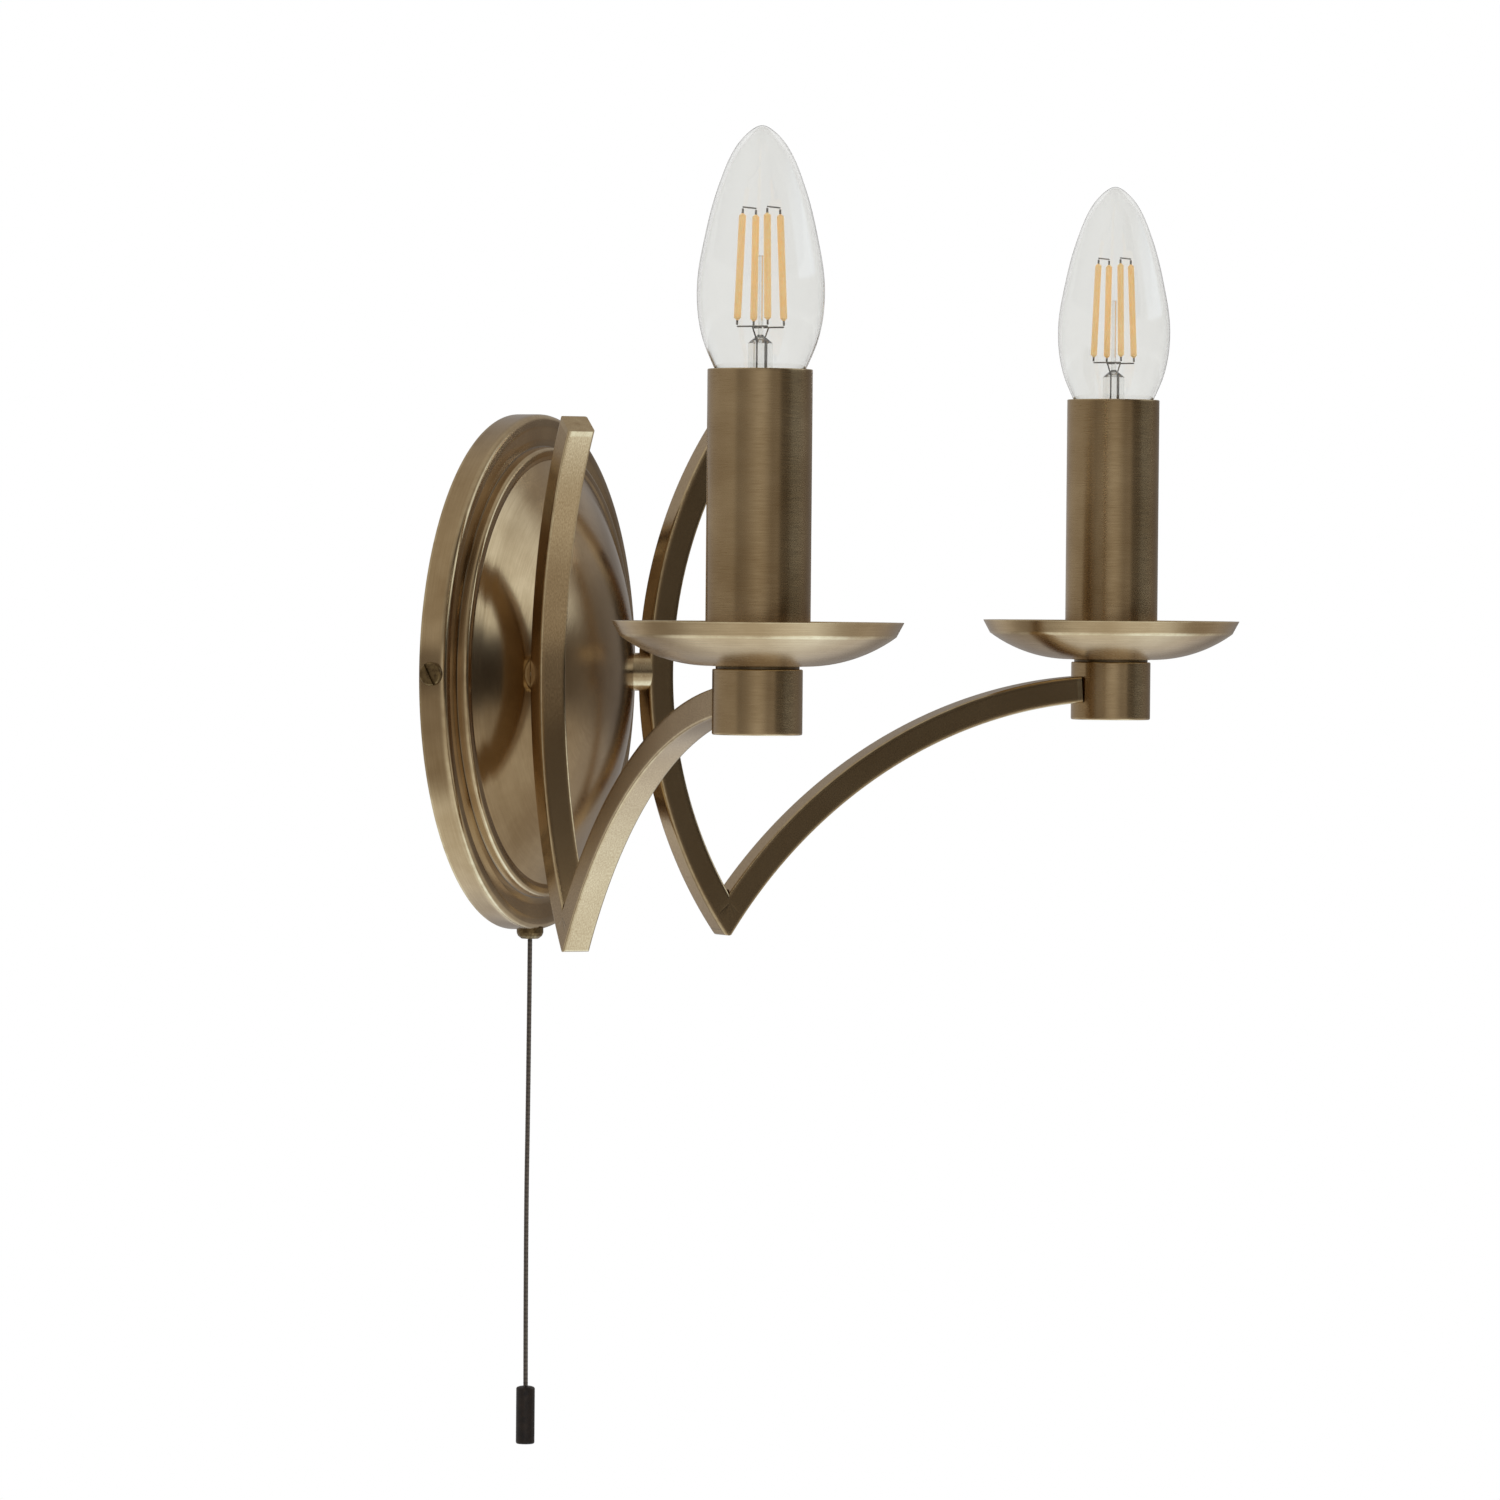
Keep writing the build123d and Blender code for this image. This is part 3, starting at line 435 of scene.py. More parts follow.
# %% Profiles with rounded corners
def rounded(corners, steps=6, closed=True):
    """Outline points from (x, y, radius) corners.

    Each corner P with a radius becomes the curve (1-s)^2 A + 2 s (1-s) P + s^2 B between the
    points A and B on its two sides, one tangent length away.
    """
    spots = np.array([c[:2] for c in corners], float)
    count = len(spots)
    outline = []
    for index, (spot, corner) in enumerate(zip(spots, corners)):
        radius = corner[2] if len(corner) > 2 else 0
        inner = closed or 0 < index < count - 1
        if not radius or not inner:
            outline.append(spot)
            continue
        back = spots[index - 1] - spot
        ahead = spots[(index + 1) % count] - spot
        lengths = np.linalg.norm(back), np.linalg.norm(ahead)
        cosine = np.clip(back @ ahead / (lengths[0] * lengths[1]), -1, 1)
        tangent = min(radius / math.tan(math.acos(cosine) / 2), 0.48 * min(lengths))
        start = spot + back / lengths[0] * tangent
        end = spot + ahead / lengths[1] * tangent
        s = np.linspace(0, 1, steps + 1)[:, None]
        outline.extend((1 - s) ** 2 * start + 2 * s * (1 - s) * spot + s**2 * end)
    return np.array(outline)


def arc(centre, radius, start, end, steps):
    """Points of an arc: centre + radius (cos a, sin a) for angles in degrees."""
    a = np.radians(np.linspace(start, end, steps))
    return np.stack([centre[0] + radius * np.cos(a), centre[1] + radius * np.sin(a)], -1)


def along_profile(outline):
    """Length from the start of an outline to each of its points, in metres."""
    steps = np.linalg.norm(np.diff(outline, axis=0), axis=1)
    return np.concatenate([[0], np.cumsum(steps)]) * MM


def held(outline, gap=0.7):
    """Adds a point a small gap from each end of every long run, so an edge's wear stays at it."""
    start, end = outline[:-1], outline[1:]
    run = np.linalg.norm(end - start, axis=1)[:, None]
    step = (end - start) / np.maximum(run, 1e-9) * gap
    kept = np.concatenate([run >= 0, run > 3 * gap, run > 3 * gap], 1)
    return np.vstack([np.stack([start, start + step, end - step], 1)[kept], outline[-1:]])


def turned(outline, centre, sides, axis=(0, 0, 1), closed=True):
    """Grid of an outline of (radius, height) turned about an axis through a centre.

    point = centre + height * axis + radius * (cos a * first + sin a * second), where first
    and second are square to the axis and to each other.
    """
    outline = held(np.vstack([outline, outline[:1]]) if closed else np.asarray(outline, float))
    axis = np.array(axis, float) / np.linalg.norm(axis)
    first = np.cross(axis, (0, 0, 1) if abs(axis[2]) < 0.9 else (0, 1, 0))
    first /= np.linalg.norm(first)
    second = np.cross(axis, first)
    a = np.linspace(0, 2 * math.pi, sides, endpoint=False)[None, :, None]
    spokes = np.cos(a) * first + np.sin(a) * second
    points = np.array(centre, float) + outline[:, 1, None, None] * axis
    points = points + outline[:, 0, None, None] * spokes
    around = np.ones((len(outline), 1)) * np.linspace(0, 1, sides + 1)
    along = along_profile(outline)[:, None] * np.ones(sides + 1)
    return points, around, along


def rod(start, end, radius, sides=12, cap=0.3):
    """Grid of a round rod between two points, its ends rounded by a share of its radius."""
    start, end = np.array(start, float), np.array(end, float)
    length = np.linalg.norm(end - start)
    edge = cap * radius
    outline = [(0, 0), (radius - edge, 0), (radius, edge)]
    outline += [(radius, length - edge), (radius - edge, length), (0, length)]
    return turned(outline, start, sides, end - start, closed=False)


# %% [markdown]
# ## Antique brass
# Real pieces of this kind are brass or brass-plated steel, brushed, stained brown and lacquered
# satin.  The eye gets three things from that: a warm metal mirror blurred across the brushing,
# fine light and dark streaks that run with it, and a slow cloudiness where the stain lies thicker.
# On turned pieces the streaks run round the axis.  The noise is read on a unit circle, so it has
# no seam, and is stretched along the profile, where one streak is about a third of a millimetre:
# the real brushing is finer, but would not show at this size.

# %% Brushed antique brass
BRASS_LIGHT = "#C0A67E"
BRASS_DARK = "#987C55"
BRASS_WORN = "#D8C49B"
BRASS_STAIN = "#453727"
STREAK_WIDTH_MM = 0.35
CLOUD_SIZE_MM = 22.0
PATCH_SIZE_MM = 3.5


def grain_place(tree, round_grain, fleck_length):
    """Where the grain noise is read, so that it runs round a turned piece or along a bar."""
    measure = add(tree, "SeparateXYZ", [add(tree, "UVMap", uv_map="measure")]).outputs
    fine = 1 / (STREAK_WIDTH_MM * MM)
    if round_grain:
        turn = add(tree, "Math", [measure["X"], 2 * math.pi], operation="MULTIPLY")
        side = add(tree, "Math", [turn], operation="COSINE")
        other = add(tree, "Math", [turn], operation="SINE")
        place = add(tree, "CombineXYZ", [side, other, measure["Y"]])
        scale = (fleck_length, fleck_length, fine)
    else:
        place = add(tree, "CombineXYZ", [measure["X"], measure["Y"]])
        scale = (fine, 1 / (fleck_length * MM), 1.0)
    return add(tree, "VectorMath", [place, scale], operation="MULTIPLY")


def brushed_brass(
    name, roughness, fleck_length, grain="round", contrast=0.3, sheen_spread=0.6, tones=None
):
    """Brass whose grain runs round a turned piece, or along a bar with grain="along".

    The stain keeps to hollow corners and the edges are rubbed light, both by the piece's bend.
    """
    light, dark = tones or (BRASS_LIGHT, BRASS_DARK)
    material, tree = new_material(name)
    solid = add(tree, "TexCoord").outputs["Object"]
    shares = []
    for vector, scale, detail, rough in (
        (grain_place(tree, grain == "round", fleck_length), 1.0, 3.0, 0.6),
        (solid, 1 / (CLOUD_SIZE_MM * MM), 4.0, 0.55),
        (solid, 1 / (PATCH_SIZE_MM * MM), 3.0, 0.55),
    ):
        sockets = {"Vector": vector, "Scale": scale, "Detail": detail, "Roughness": rough}
        shares.append(add(tree, "MapRange", [add(tree, "TexNoise", sockets), 0.3, 0.7]))
    streaks, clouds, patches = shares
    stain = add(tree, "Mix", {0: contrast, 2: clouds, 3: streaks}, data_type="FLOAT")
    colour = add(tree, "MixRGB", [stain, tone(dark), tone(light)])
    bend = add(tree, "Attribute", attribute_name="bend").outputs["Fac"]
    edge = add(tree, "MapRange", [bend, 0.02, 0.08])
    wear = add(tree, "MapRange", [patches, 0, 1, 0.15, 0.6])
    rubbed = add(tree, "Math", [edge, wear], operation="MULTIPLY")
    colour = add(tree, "MixRGB", [rubbed, colour, tone(BRASS_WORN)])
    hollow = add(tree, "MapRange", [bend, -0.01, -0.07, 0, 0.8])
    colour = add(tree, "MixRGB", [hollow, colour, tone(BRASS_STAIN)])
    finish_with(
        tree,
        {
            "Base Color": colour,
            "Metallic": 1.0,
            "Roughness": add(tree, "MapRange", [streaks, 0, 1, roughness + 0.04, roughness - 0.03]),
            "Anisotropic": sheen_spread,
            "Anisotropic Rotation": 0.25 if grain == "round" else 0.0,
            "Normal": add(
                tree, "Bump", {"Strength": 0.08, "Distance": 0.00004, "Height": streaks}
            ),
            "Tangent": add(tree, "Tangent", direction_type="UV_MAP", uv_map="measure"),
            "Coat Weight": 0.2,
            "Coat Roughness": 0.22,
        },
    )
    return material


spun_brass = brushed_brass(
    "antique brass, spun and brushed", 0.18, 4.0, contrast=0.2, sheen_spread=0.4
)
turned_brass = brushed_brass("antique brass, turned and brushed", 0.24, 2.5)
tube_brass = brushed_brass("antique brass tube, brushed round", 0.25, 2.5, contrast=0.3)
bar_brass = brushed_brass("antique brass bar, sanded along", 0.21, 0.9, "along", 0.7)
collar_brass = brushed_brass("dark stained brass collar", 0.35, 2.5, tones=("#5A4B36", "#3E3325"))


# %% [markdown]
# ## The wall plate
# One sheet of brass was spun over a former: a shallow drum, a flat face, a bead, a sloping band
# and a dome.  Its profile is drawn from the wall out to the middle, as radius and depth, and back
# again one sheet thickness inside.  The dome is part of a sphere, so its profile is one arc.

# %% Wall plate
PLATE_RADIUS = 77.0
SHEET = 1.0
DOME_EDGE = (59.6, 12.6)
DOME_DEPTH = 28.7


def dome_arc(edge, depth, steps):
    """Arc of a sphere cap from its edge (radius, depth) to the middle: R = (r^2 + h^2) / 2h."""
    rise = depth - edge[1]
    sphere = (edge[0] ** 2 + rise**2) / (2 * rise)
    start = math.degrees(math.asin(edge[0] / sphere))
    return arc((0, depth - sphere), sphere, 90 - start, 90, steps)


plate_outside = rounded(
    [
        (PLATE_RADIUS, 0.0),
        (PLATE_RADIUS, 8.0, 1.9),
        (73.4, 8.2, 2.5),
        (69.4, 7.6, 2.0),
        (67.3, 7.75, 0.4),
        (67.1, 10.95, 1.6),
        (64.6, 11.0, 0.6),
        (63.4, 10.75, 0.5),
        DOME_EDGE,
    ],
    closed=False,
)
plate_inside = rounded(
    [
        (59.1, 11.6),
        (63.0, 9.8, 0.5),
        (66.1, 9.6, 0.5),
        (66.2, 7.2, 0.4),
        (75.6, 6.9, 0.5),
        (PLATE_RADIUS - SHEET, 6.2, 0.4),
        (PLATE_RADIUS - SHEET, 0.0),
    ],
    closed=False,
)
plate_profile = np.vstack(
    [
        plate_outside,
        dome_arc(DOME_EDGE, DOME_DEPTH, 40)[1:],
        dome_arc((59.1, 11.6), DOME_DEPTH - SHEET, 30)[::-1],
        plate_inside[1:],
    ]
)
surface(
    "spun_plate",
    [turned(plate_profile, (0, 0, 0), 256, axis=(0, -1, 0))],
    "fixture",
    spun_brass,
    ["plate_cover"],
)

# %% [markdown]
# ## The arms
# Each arm is two lengths of square tube, bent to arcs and joined in a V.  They lie in one upright
# plane, splayed 47 degrees from the wall's normal.  In that plane a point has a reach and a
# height, and the third direction is the bar's width.  A ring of the bar's rounded square follows
# the arc; at the V each ring point slides along the bar until it meets the mitre plane, and the
# point of the V is ground round.

# %% Arm plane
SPLAY = math.radians(47.0)
PLANE_X = 15.0
BAR = 8.2
BAR_EDGE = 0.85
BOW_REACH = 39.7
BOW_RADIUS = 130.5
BOW_CENTRE = np.array([BOW_REACH + BOW_RADIUS, 0.0])
LAMP_REACH = 198.0
BRANCH_RADIUS = 165.0
BRANCH_CENTRE = np.array([LAMP_REACH, -4.6 - BRANCH_RADIUS])
UPRIGHT_TOP = 33.9
CUP_RADIUS = 12.4
TIP_RADIUS = 2.0
ARM_SIDES = (("left", -1), ("right", 1))


def on_arm(side, flat, width):
    """Row frame points from arm plane points (reach, height) and a width across the plane."""
    reach, height = flat[..., 0], flat[..., 1]
    x = side * (PLANE_X + reach * math.sin(SPLAY)) - width * math.cos(SPLAY)
    y = -reach * math.cos(SPLAY) - side * width * math.sin(SPLAY)
    return np.stack([x, y, height + 0 * width], -1)


def meeting(bow_radius, branch_radius):
    """Lower crossing of two circles, from the distance and bearing of their centres."""
    way = BRANCH_CENTRE - BOW_CENTRE
    gap = np.linalg.norm(way)
    unit = way / gap
    reach = (gap**2 + bow_radius**2 - branch_radius**2) / (2 * gap)
    off = math.sqrt(bow_radius**2 - reach**2)
    return BOW_CENTRE + reach * unit + off * np.array([unit[1], -unit[0]])


NOTCH = meeting(BOW_RADIUS - BAR / 2, BRANCH_RADIUS + BAR / 2)
TIP = meeting(BOW_RADIUS + BAR / 2, BRANCH_RADIUS - BAR / 2)
V_MIDDLE = meeting(BOW_RADIUS, BRANCH_RADIUS)
MITRE = (TIP - NOTCH) / np.linalg.norm(TIP - NOTCH)
ACROSS_MITRE = np.array([MITRE[1], -MITRE[0]])
print("notch", NOTCH.round(1), "tip", TIP.round(1))


# %% Bent bar
NEAR_MITRE = 12  # degrees from the V within which a bar's points may be slid


def square_ring(steps=5):
    """The bar's section, a square with rounded corners, as (across the arc, width)."""
    h = BAR / 2
    corners = [(x * h, y * h, BAR_EDGE) for x, y in ((1, 1), (-1, 1), (-1, -1), (1, -1))]
    ring = rounded(corners, steps)
    return held(np.vstack([ring, ring[:1]]))[:-1]


def grind_tip(flat):
    """Pulls points that stick out past a small circle at the point of the V back on to it.

    The circle, 1.25 tip radii wide, has its outermost point on the mitre line.
    """
    middle_to_side = BAR / 2 / np.linalg.norm(V_MIDDLE - TIP)
    apex = TIP - MITRE * (TIP_RADIUS / middle_to_side - TIP_RADIUS)
    curve = 1.25 * TIP_RADIUS
    middle = apex - MITRE * curve
    ahead = (flat - middle) @ MITRE
    beside = np.clip((flat - middle) @ ACROSS_MITRE, -0.98 * curve, 0.98 * curve)
    past = np.maximum(ahead - np.sqrt(curve**2 - beside**2), 0)
    return flat - past[..., None] * MITRE


def bent_bar(name, side, centre, radius, angles, far_side, replaced):
    """A square bar along an arc: ring point = centre + (radius + across) (cos a, sin a).

    Points past the mitre plane, on the far side of the V, are slid along the bar back to it.
    """
    section = square_ring()
    a = np.radians(angles)[:, None]
    across = section[:, 0][None, :]
    spoke = np.stack([np.cos(a) + 0 * across, np.sin(a) + 0 * across], -1)
    flat = centre + (radius + across)[..., None] * spoke
    near_mitre = np.abs(angles - angles[-1])[:, None] < NEAR_MITRE
    tangent = np.stack([-np.sin(a) + 0 * across, np.cos(a) + 0 * across], -1)
    past = (flat - NOTCH) @ ACROSS_MITRE * far_side * near_mitre
    slope = tangent @ ACROSS_MITRE * far_side
    flat = np.where(past[..., None] > 0, flat - tangent * (past / slope)[..., None], flat)
    width = section[:, 1][None, :] * np.ones_like(a)
    rows = on_arm(side, grind_tip(flat), width)

    # each end closes with a flat face: its ring again, then the ring's middle
    middle_first = rows[:1].mean(1, keepdims=True) + 0 * rows[:1]
    middle_last = rows[-1:].mean(1, keepdims=True) + 0 * rows[-1:]
    points = np.concatenate([middle_first, rows[:1], rows, rows[-1:], middle_last])
    closed_section = np.vstack([section, section[:1]])
    girth = along_profile(closed_section)
    length = np.radians(angles) * radius * MM
    around = girth[None, :] * np.ones((len(length), 1))
    along = length[:, None] * np.ones((1, len(girth)))
    face = np.stack([0 * closed_section, closed_section]) * MM
    around = np.concatenate([face[..., 1], around, face[::-1, :, 1]])
    along = np.concatenate([face[..., 0], along, face[::-1, :, 0]])
    surface(name, [(points, around, along)], "fixture", bar_brass, [replaced])


def bearing(point, centre):
    """Angle in degrees at which a point lies as seen from a centre."""
    return math.degrees(math.atan2(*(point - centre)[::-1]))


v_bow = bearing(V_MIDDLE, BOW_CENTRE) % 360
v_branch = bearing(V_MIDDLE, BRANCH_CENTRE)
cup_gap = math.degrees(math.asin(CUP_RADIUS / BRANCH_RADIUS))
upright_angles = np.concatenate(
    [np.linspace(180 - UPRIGHT_TOP, v_bow - 4, 70), np.linspace(v_bow - 3.8, v_bow + 4, 40)]
)
branch_angles = np.concatenate(
    [np.linspace(90 + cup_gap, v_branch - 3, 70), np.linspace(v_branch - 2.8, v_branch + 3, 40)]
)
for name, side in ARM_SIDES:
    upright = (BOW_CENTRE, BOW_RADIUS, upright_angles, -1)
    branch = (BRANCH_CENTRE, BRANCH_RADIUS, branch_angles, 1)
    bent_bar(f"{name}_upright_bar", side, *upright, f"{name}_arm_upright")
    bent_bar(f"{name}_branch_bar", side, *branch, f"{name}_arm_branch")

# %% [markdown]
# ## Distance pieces
# A short turned piece holds each arm off the dome.  It lies along the arm's own plane, so it
# meets the dome at a slant: its far end is where each line of its wall pierces the sphere, which
# is the nearer root of a quadratic.

# %% Distance pieces
BOSS_RADIUS = 5.75
SUNK = 0.5  # how far the piece's wall runs on under the dome's skin
LET_IN = 0.2  # and how far its other end goes into the bar
dome_rise = DOME_DEPTH - DOME_EDGE[1]
dome_sphere = (DOME_EDGE[0] ** 2 + dome_rise**2) / (2 * dome_rise)
dome_centre = np.array([0, dome_sphere - DOME_DEPTH, 0])
for name, side in ARM_SIDES:
    outward = np.array([side * math.sin(SPLAY), -math.cos(SPLAY), 0])
    boss_foot = np.array([side * PLANE_X, 0, 0])
    rings, around, along = turned(
        [(BOSS_RADIUS, 0), (BOSS_RADIUS, 1), (BOSS_RADIUS, 1), (0, 1)],
        boss_foot,
        64,
        axis=outward,
        closed=False,
    )
    to_line = rings[0] - dome_centre
    beside = to_line @ outward
    reached = (dome_sphere - SUNK) ** 2
    pierce = -beside + np.sqrt(beside**2 - (to_line**2).sum(-1) + reached)
    seat = BOW_REACH - BAR / 2 + LET_IN
    rings[0] += pierce[:, None] * outward
    rings[1:] += (seat - 1) * outward
    along = along * 10  # the first wall was 1 mm long, and is about ten times that now
    surface(
        f"{name}_boss_turned",
        [(rings, around, along)],
        "fixture",
        turned_brass,
        [f"{name}_arm_boss"],
    )

# %% [markdown]
# ## Cup, collar, dish and candle tube
# Over the end of each branch stands a stack of turned pieces on one upright axis.  Each is a
# closed outline of radius and height.  The dish is spun sheet: its underside climbs along an arc
# and ends in a short straight lip, and its upper side is the same line a sheet's thickness higher.

# %% Turned lamp pieces
LAMP_X = PLANE_X + LAMP_REACH * math.sin(SPLAY)
LAMP_Y = -LAMP_REACH * math.cos(SPLAY)
DISH_CURVE = 42.0
DISH_FLOOR = 13.0
TUBE_BOTTOM = 5.15
TUBE_TOP = 85.45

cup_outline = rounded(
    [
        (0, -14.5),
        (CUP_RADIUS, -14.5, 0.6),
        (CUP_RADIUS, 3.5, 0.4),
        (10.4, 3.5, 0.2),
        (10.4, -12.5),
        (0, -12.5),
    ]
)
collar_outline = rounded(
    [(5.05, 0.5), (10.35, 0.5), (10.35, 3.5), (11.5, 3.5, 0.2), (11.5, 4.3, 0.2), (5.05, 4.3)]
)


def dish_line(lift, radii):
    """The dish's arc: height = lift + R - sqrt(R^2 - (r - floor)^2)."""
    climb = DISH_CURVE - np.sqrt(DISH_CURVE**2 - (radii - DISH_FLOOR) ** 2)
    return np.stack([radii, lift + climb], -1)


dish_radii = np.linspace(DISH_FLOOR, 37.9, 28)
dish_outline = np.vstack(
    [
        [(5.2, 4.3)],
        dish_line(4.3, dish_radii),
        [(39.85, 16.1), (40.0, 16.4), (39.9, 16.5), (39.6, 16.42)],
        dish_line(5.1, dish_radii - 0.25)[::-1],
        [(5.2, 5.1)],
    ]
)
tube_outline = rounded(
    [
        (14.4, TUBE_BOTTOM, 0.2),
        (14.4, TUBE_TOP, 0.3),
        (13.6, TUBE_TOP, 0.3),
        (13.6, TUBE_BOTTOM, 0.2),
    ]
)

# %% [markdown]
# ## The bulb
# A clear candle bulb is blown glass, drawn to a soft point.  Its outline runs through a few
# measured points (share of the height, share of the radius), joined by a natural cubic spline:
# the pieces' bending is the unknown of a small linear system.  The glass is a thin shell with an
# inner face, so that it bends light only at its edge, as real glass does.


# %% Bulb outline
def smooth_line(knots, per_span):
    """Natural cubic spline through knots, by chord length.

    The second derivatives m solve h0 m0 + 2 (h0 + h1) m1 + h1 m2 = 6 (slope1 - slope0).
    """
    knots = np.array(knots, float)
    h = np.linalg.norm(np.diff(knots, axis=0), axis=1)
    slope = np.diff(knots, axis=0) / h[:, None]
    count = len(knots)
    system = np.eye(count)
    wanted = np.zeros((count, 2))
    inner = np.arange(1, count - 1)
    system[inner, inner - 1] = h[:-1]
    system[inner, inner] = 2 * (h[:-1] + h[1:])
    system[inner, inner + 1] = h[1:]
    wanted[inner] = 6 * np.diff(slope, axis=0)
    m = np.linalg.solve(system, wanted)
    t = np.linspace(0, 1, per_span, endpoint=False)[None, :, None]
    a, b, step = knots[:-1, None], knots[1:, None], h[:, None, None]
    bend = (1 - t) ** 3 * m[:-1, None] + t**3 * m[1:, None]
    bend = bend - (1 - t) * m[:-1, None] - t * m[1:, None]
    return np.vstack([((1 - t) * a + t * b + step**2 / 6 * bend).reshape(-1, 2), knots[-1:]])


BULB_RADIUS = 17.5
BULB_HEIGHT = 66.5
GLASS_WALL = 0.7
SPAN_STEPS = 8
SEAT = 73.95
BULB_SHAPE = np.array(
    [
        (0.033, 0.771),
        (0.099, 0.874),
        (0.164, 0.943),
        (0.262, 0.994),
        (0.311, 1.0),
        (0.394, 0.983),
        (0.525, 0.897),
        (0.655, 0.786),
        (0.786, 0.629),
        (0.917, 0.394),
        (0.978, 0.18),
    ]
)


def glass_line(inset):
    """Outline of the glass from its neck to its tip, at an inset from the outside.

    The line runs on past the axis as its own mirror image, so the tip comes out round.
    """
    radii = BULB_SHAPE[:, 1] * BULB_RADIUS - inset
    body_line = np.stack([radii, TUBE_TOP + BULB_SHAPE[:, 0] * (BULB_HEIGHT - inset)], -1)
    neck = [(7.6 - inset, SEAT), (8.9 - inset, SEAT + 3.2)]
    tip = [(0, TUBE_TOP + BULB_HEIGHT - inset)]
    beyond = body_line[:-4:-1] * (-1, 1)
    to_tip = (len(neck) + len(body_line)) * SPAN_STEPS + 1
    return smooth_line(np.vstack([neck, body_line, tip, beyond]), SPAN_STEPS)[:to_tip]


glass_outline = np.vstack([glass_line(0), glass_line(GLASS_WALL)[::-1]])
print("bulb", BULB_HEIGHT, "mm above its tube, outline of", len(glass_outline), "points")

# %% [markdown]
# The cap's thread is rolled into thin metal: a rounded groove that climbs one pitch a turn.  On
# the grid that is a radius that depends on height minus pitch times the share of the turn.  The
# swell fades out at both ends of the thread.

# %% Cap with its thread, stem and filaments
CAP_BOTTOM = 54.65
CAP_PITCH = 2.82
CAP_TURNS = 5
CAP_ROOT = 6.3
CAP_SWELL = 0.6


def threaded_cap(centre):
    """Grid of the cap: radius = root + swell * (0.5 - 0.5 cos(2 pi (z / pitch - turn)))."""
    sides = 96
    turn = np.linspace(0, 1, sides, endpoint=False)[None, :]
    z = np.linspace(0, CAP_TURNS * CAP_PITCH, 110)[:, None]
    fade = np.clip(np.minimum(z, CAP_TURNS * CAP_PITCH - z) / (0.6 * CAP_PITCH), 0, 1)
    wave = 0.5 - 0.5 * np.cos(2 * math.pi * (z / CAP_PITCH - turn))
    radius = CAP_ROOT + CAP_SWELL * wave * fade
    skirt = np.array([(6.3, 0.3), (6.6, 1.6), (7.9, 3.6), (7.95, 5.15), (0, 5.15)])
    radius = np.vstack([0 * turn, radius, skirt[:, :1] + 0 * turn])
    z = np.vstack([[[0.0]], z, skirt[:, 1:] + CAP_TURNS * CAP_PITCH]) + 0 * turn
    a = 2 * math.pi * turn
    points = np.stack([radius * np.cos(a), radius * np.sin(a), z], -1)
    around = np.ones((len(z), 1)) * np.linspace(0, 1, sides + 1)
    along = (z[:, :1] * MM) * np.ones(sides + 1)
    return points + np.array(centre), around, along


FILAMENT_TOP = TUBE_TOP + 43.7
FILAMENT_FOOT = TUBE_TOP + 12.0
FILAMENT_TURN = 37  # degrees from the X axis to the first one
TOP_RING = 5.3
FOOT_RING = 6.7
FILAMENT_RADIUS = 0.98
TAB_RADIUS = 0.32
WIRE_RADIUS = 0.22
stem_outline = rounded(
    [
        (0, SEAT),
        (5.6, SEAT, 0.3),
        (5.0, SEAT + 2.5, 2),
        (3.4, SEAT + 7, 2),
        (3.4, TUBE_TOP + 7.1, 0.6),
        (2.6, TUBE_TOP + 7.9, 0.5),
        (0.8, TUBE_TOP + 9.3, 0.5),
        (0.8, TUBE_TOP + 31.0, 0.5),
        (0, TUBE_TOP + 31.0),
    ],
    closed=False,
)


def filament_ends(x, y):
    """Top and foot of the four filaments, a quarter turn apart round the lamp's axis."""
    a = np.radians(FILAMENT_TURN + 90 * np.arange(4))
    ring_of = np.stack([np.cos(a), np.sin(a), 0 * a], -1)
    tops = ring_of * TOP_RING + (x, y, FILAMENT_TOP)
    feet = ring_of * FOOT_RING + (x, y, FILAMENT_FOOT)
    return tops, feet


def filament_wiring(x, y, tops, feet, ways):
    """Rods of the welded tabs, the links at the top, and the wires down to the glass stem."""
    ends = [(feet[k], feet[k] + 1.5 * ways[k]) for k in range(4)]
    ends += [(tops[k] - 1.5 * ways[k], tops[k]) for k in range(4)]
    rods = [rod(start, end, TAB_RADIUS, 8) for start, end in ends]
    links = [(tops[k] + (0, 0, 0.4), tops[k + 1] + (0, 0, 0.4)) for k in (0, 2)]
    for first, second in ((1, 2), (3, 0)):
        low_first, low_second = feet[first] - (0, 0, 0.4), feet[second] - (0, 0, 0.4)
        middle = (low_first + low_second) / 2
        pinch = np.array([x + 0.35 * (middle[0] - x), y + 0.35 * (middle[1] - y), TUBE_TOP + 7.3])
        root = (pinch[0], pinch[1], SEAT + 0.5)
        links += [(low_first, low_second), (pinch, middle), (root, pinch)]
    return rods + [rod(start, end, WIRE_RADIUS, 8) for start, end in links]
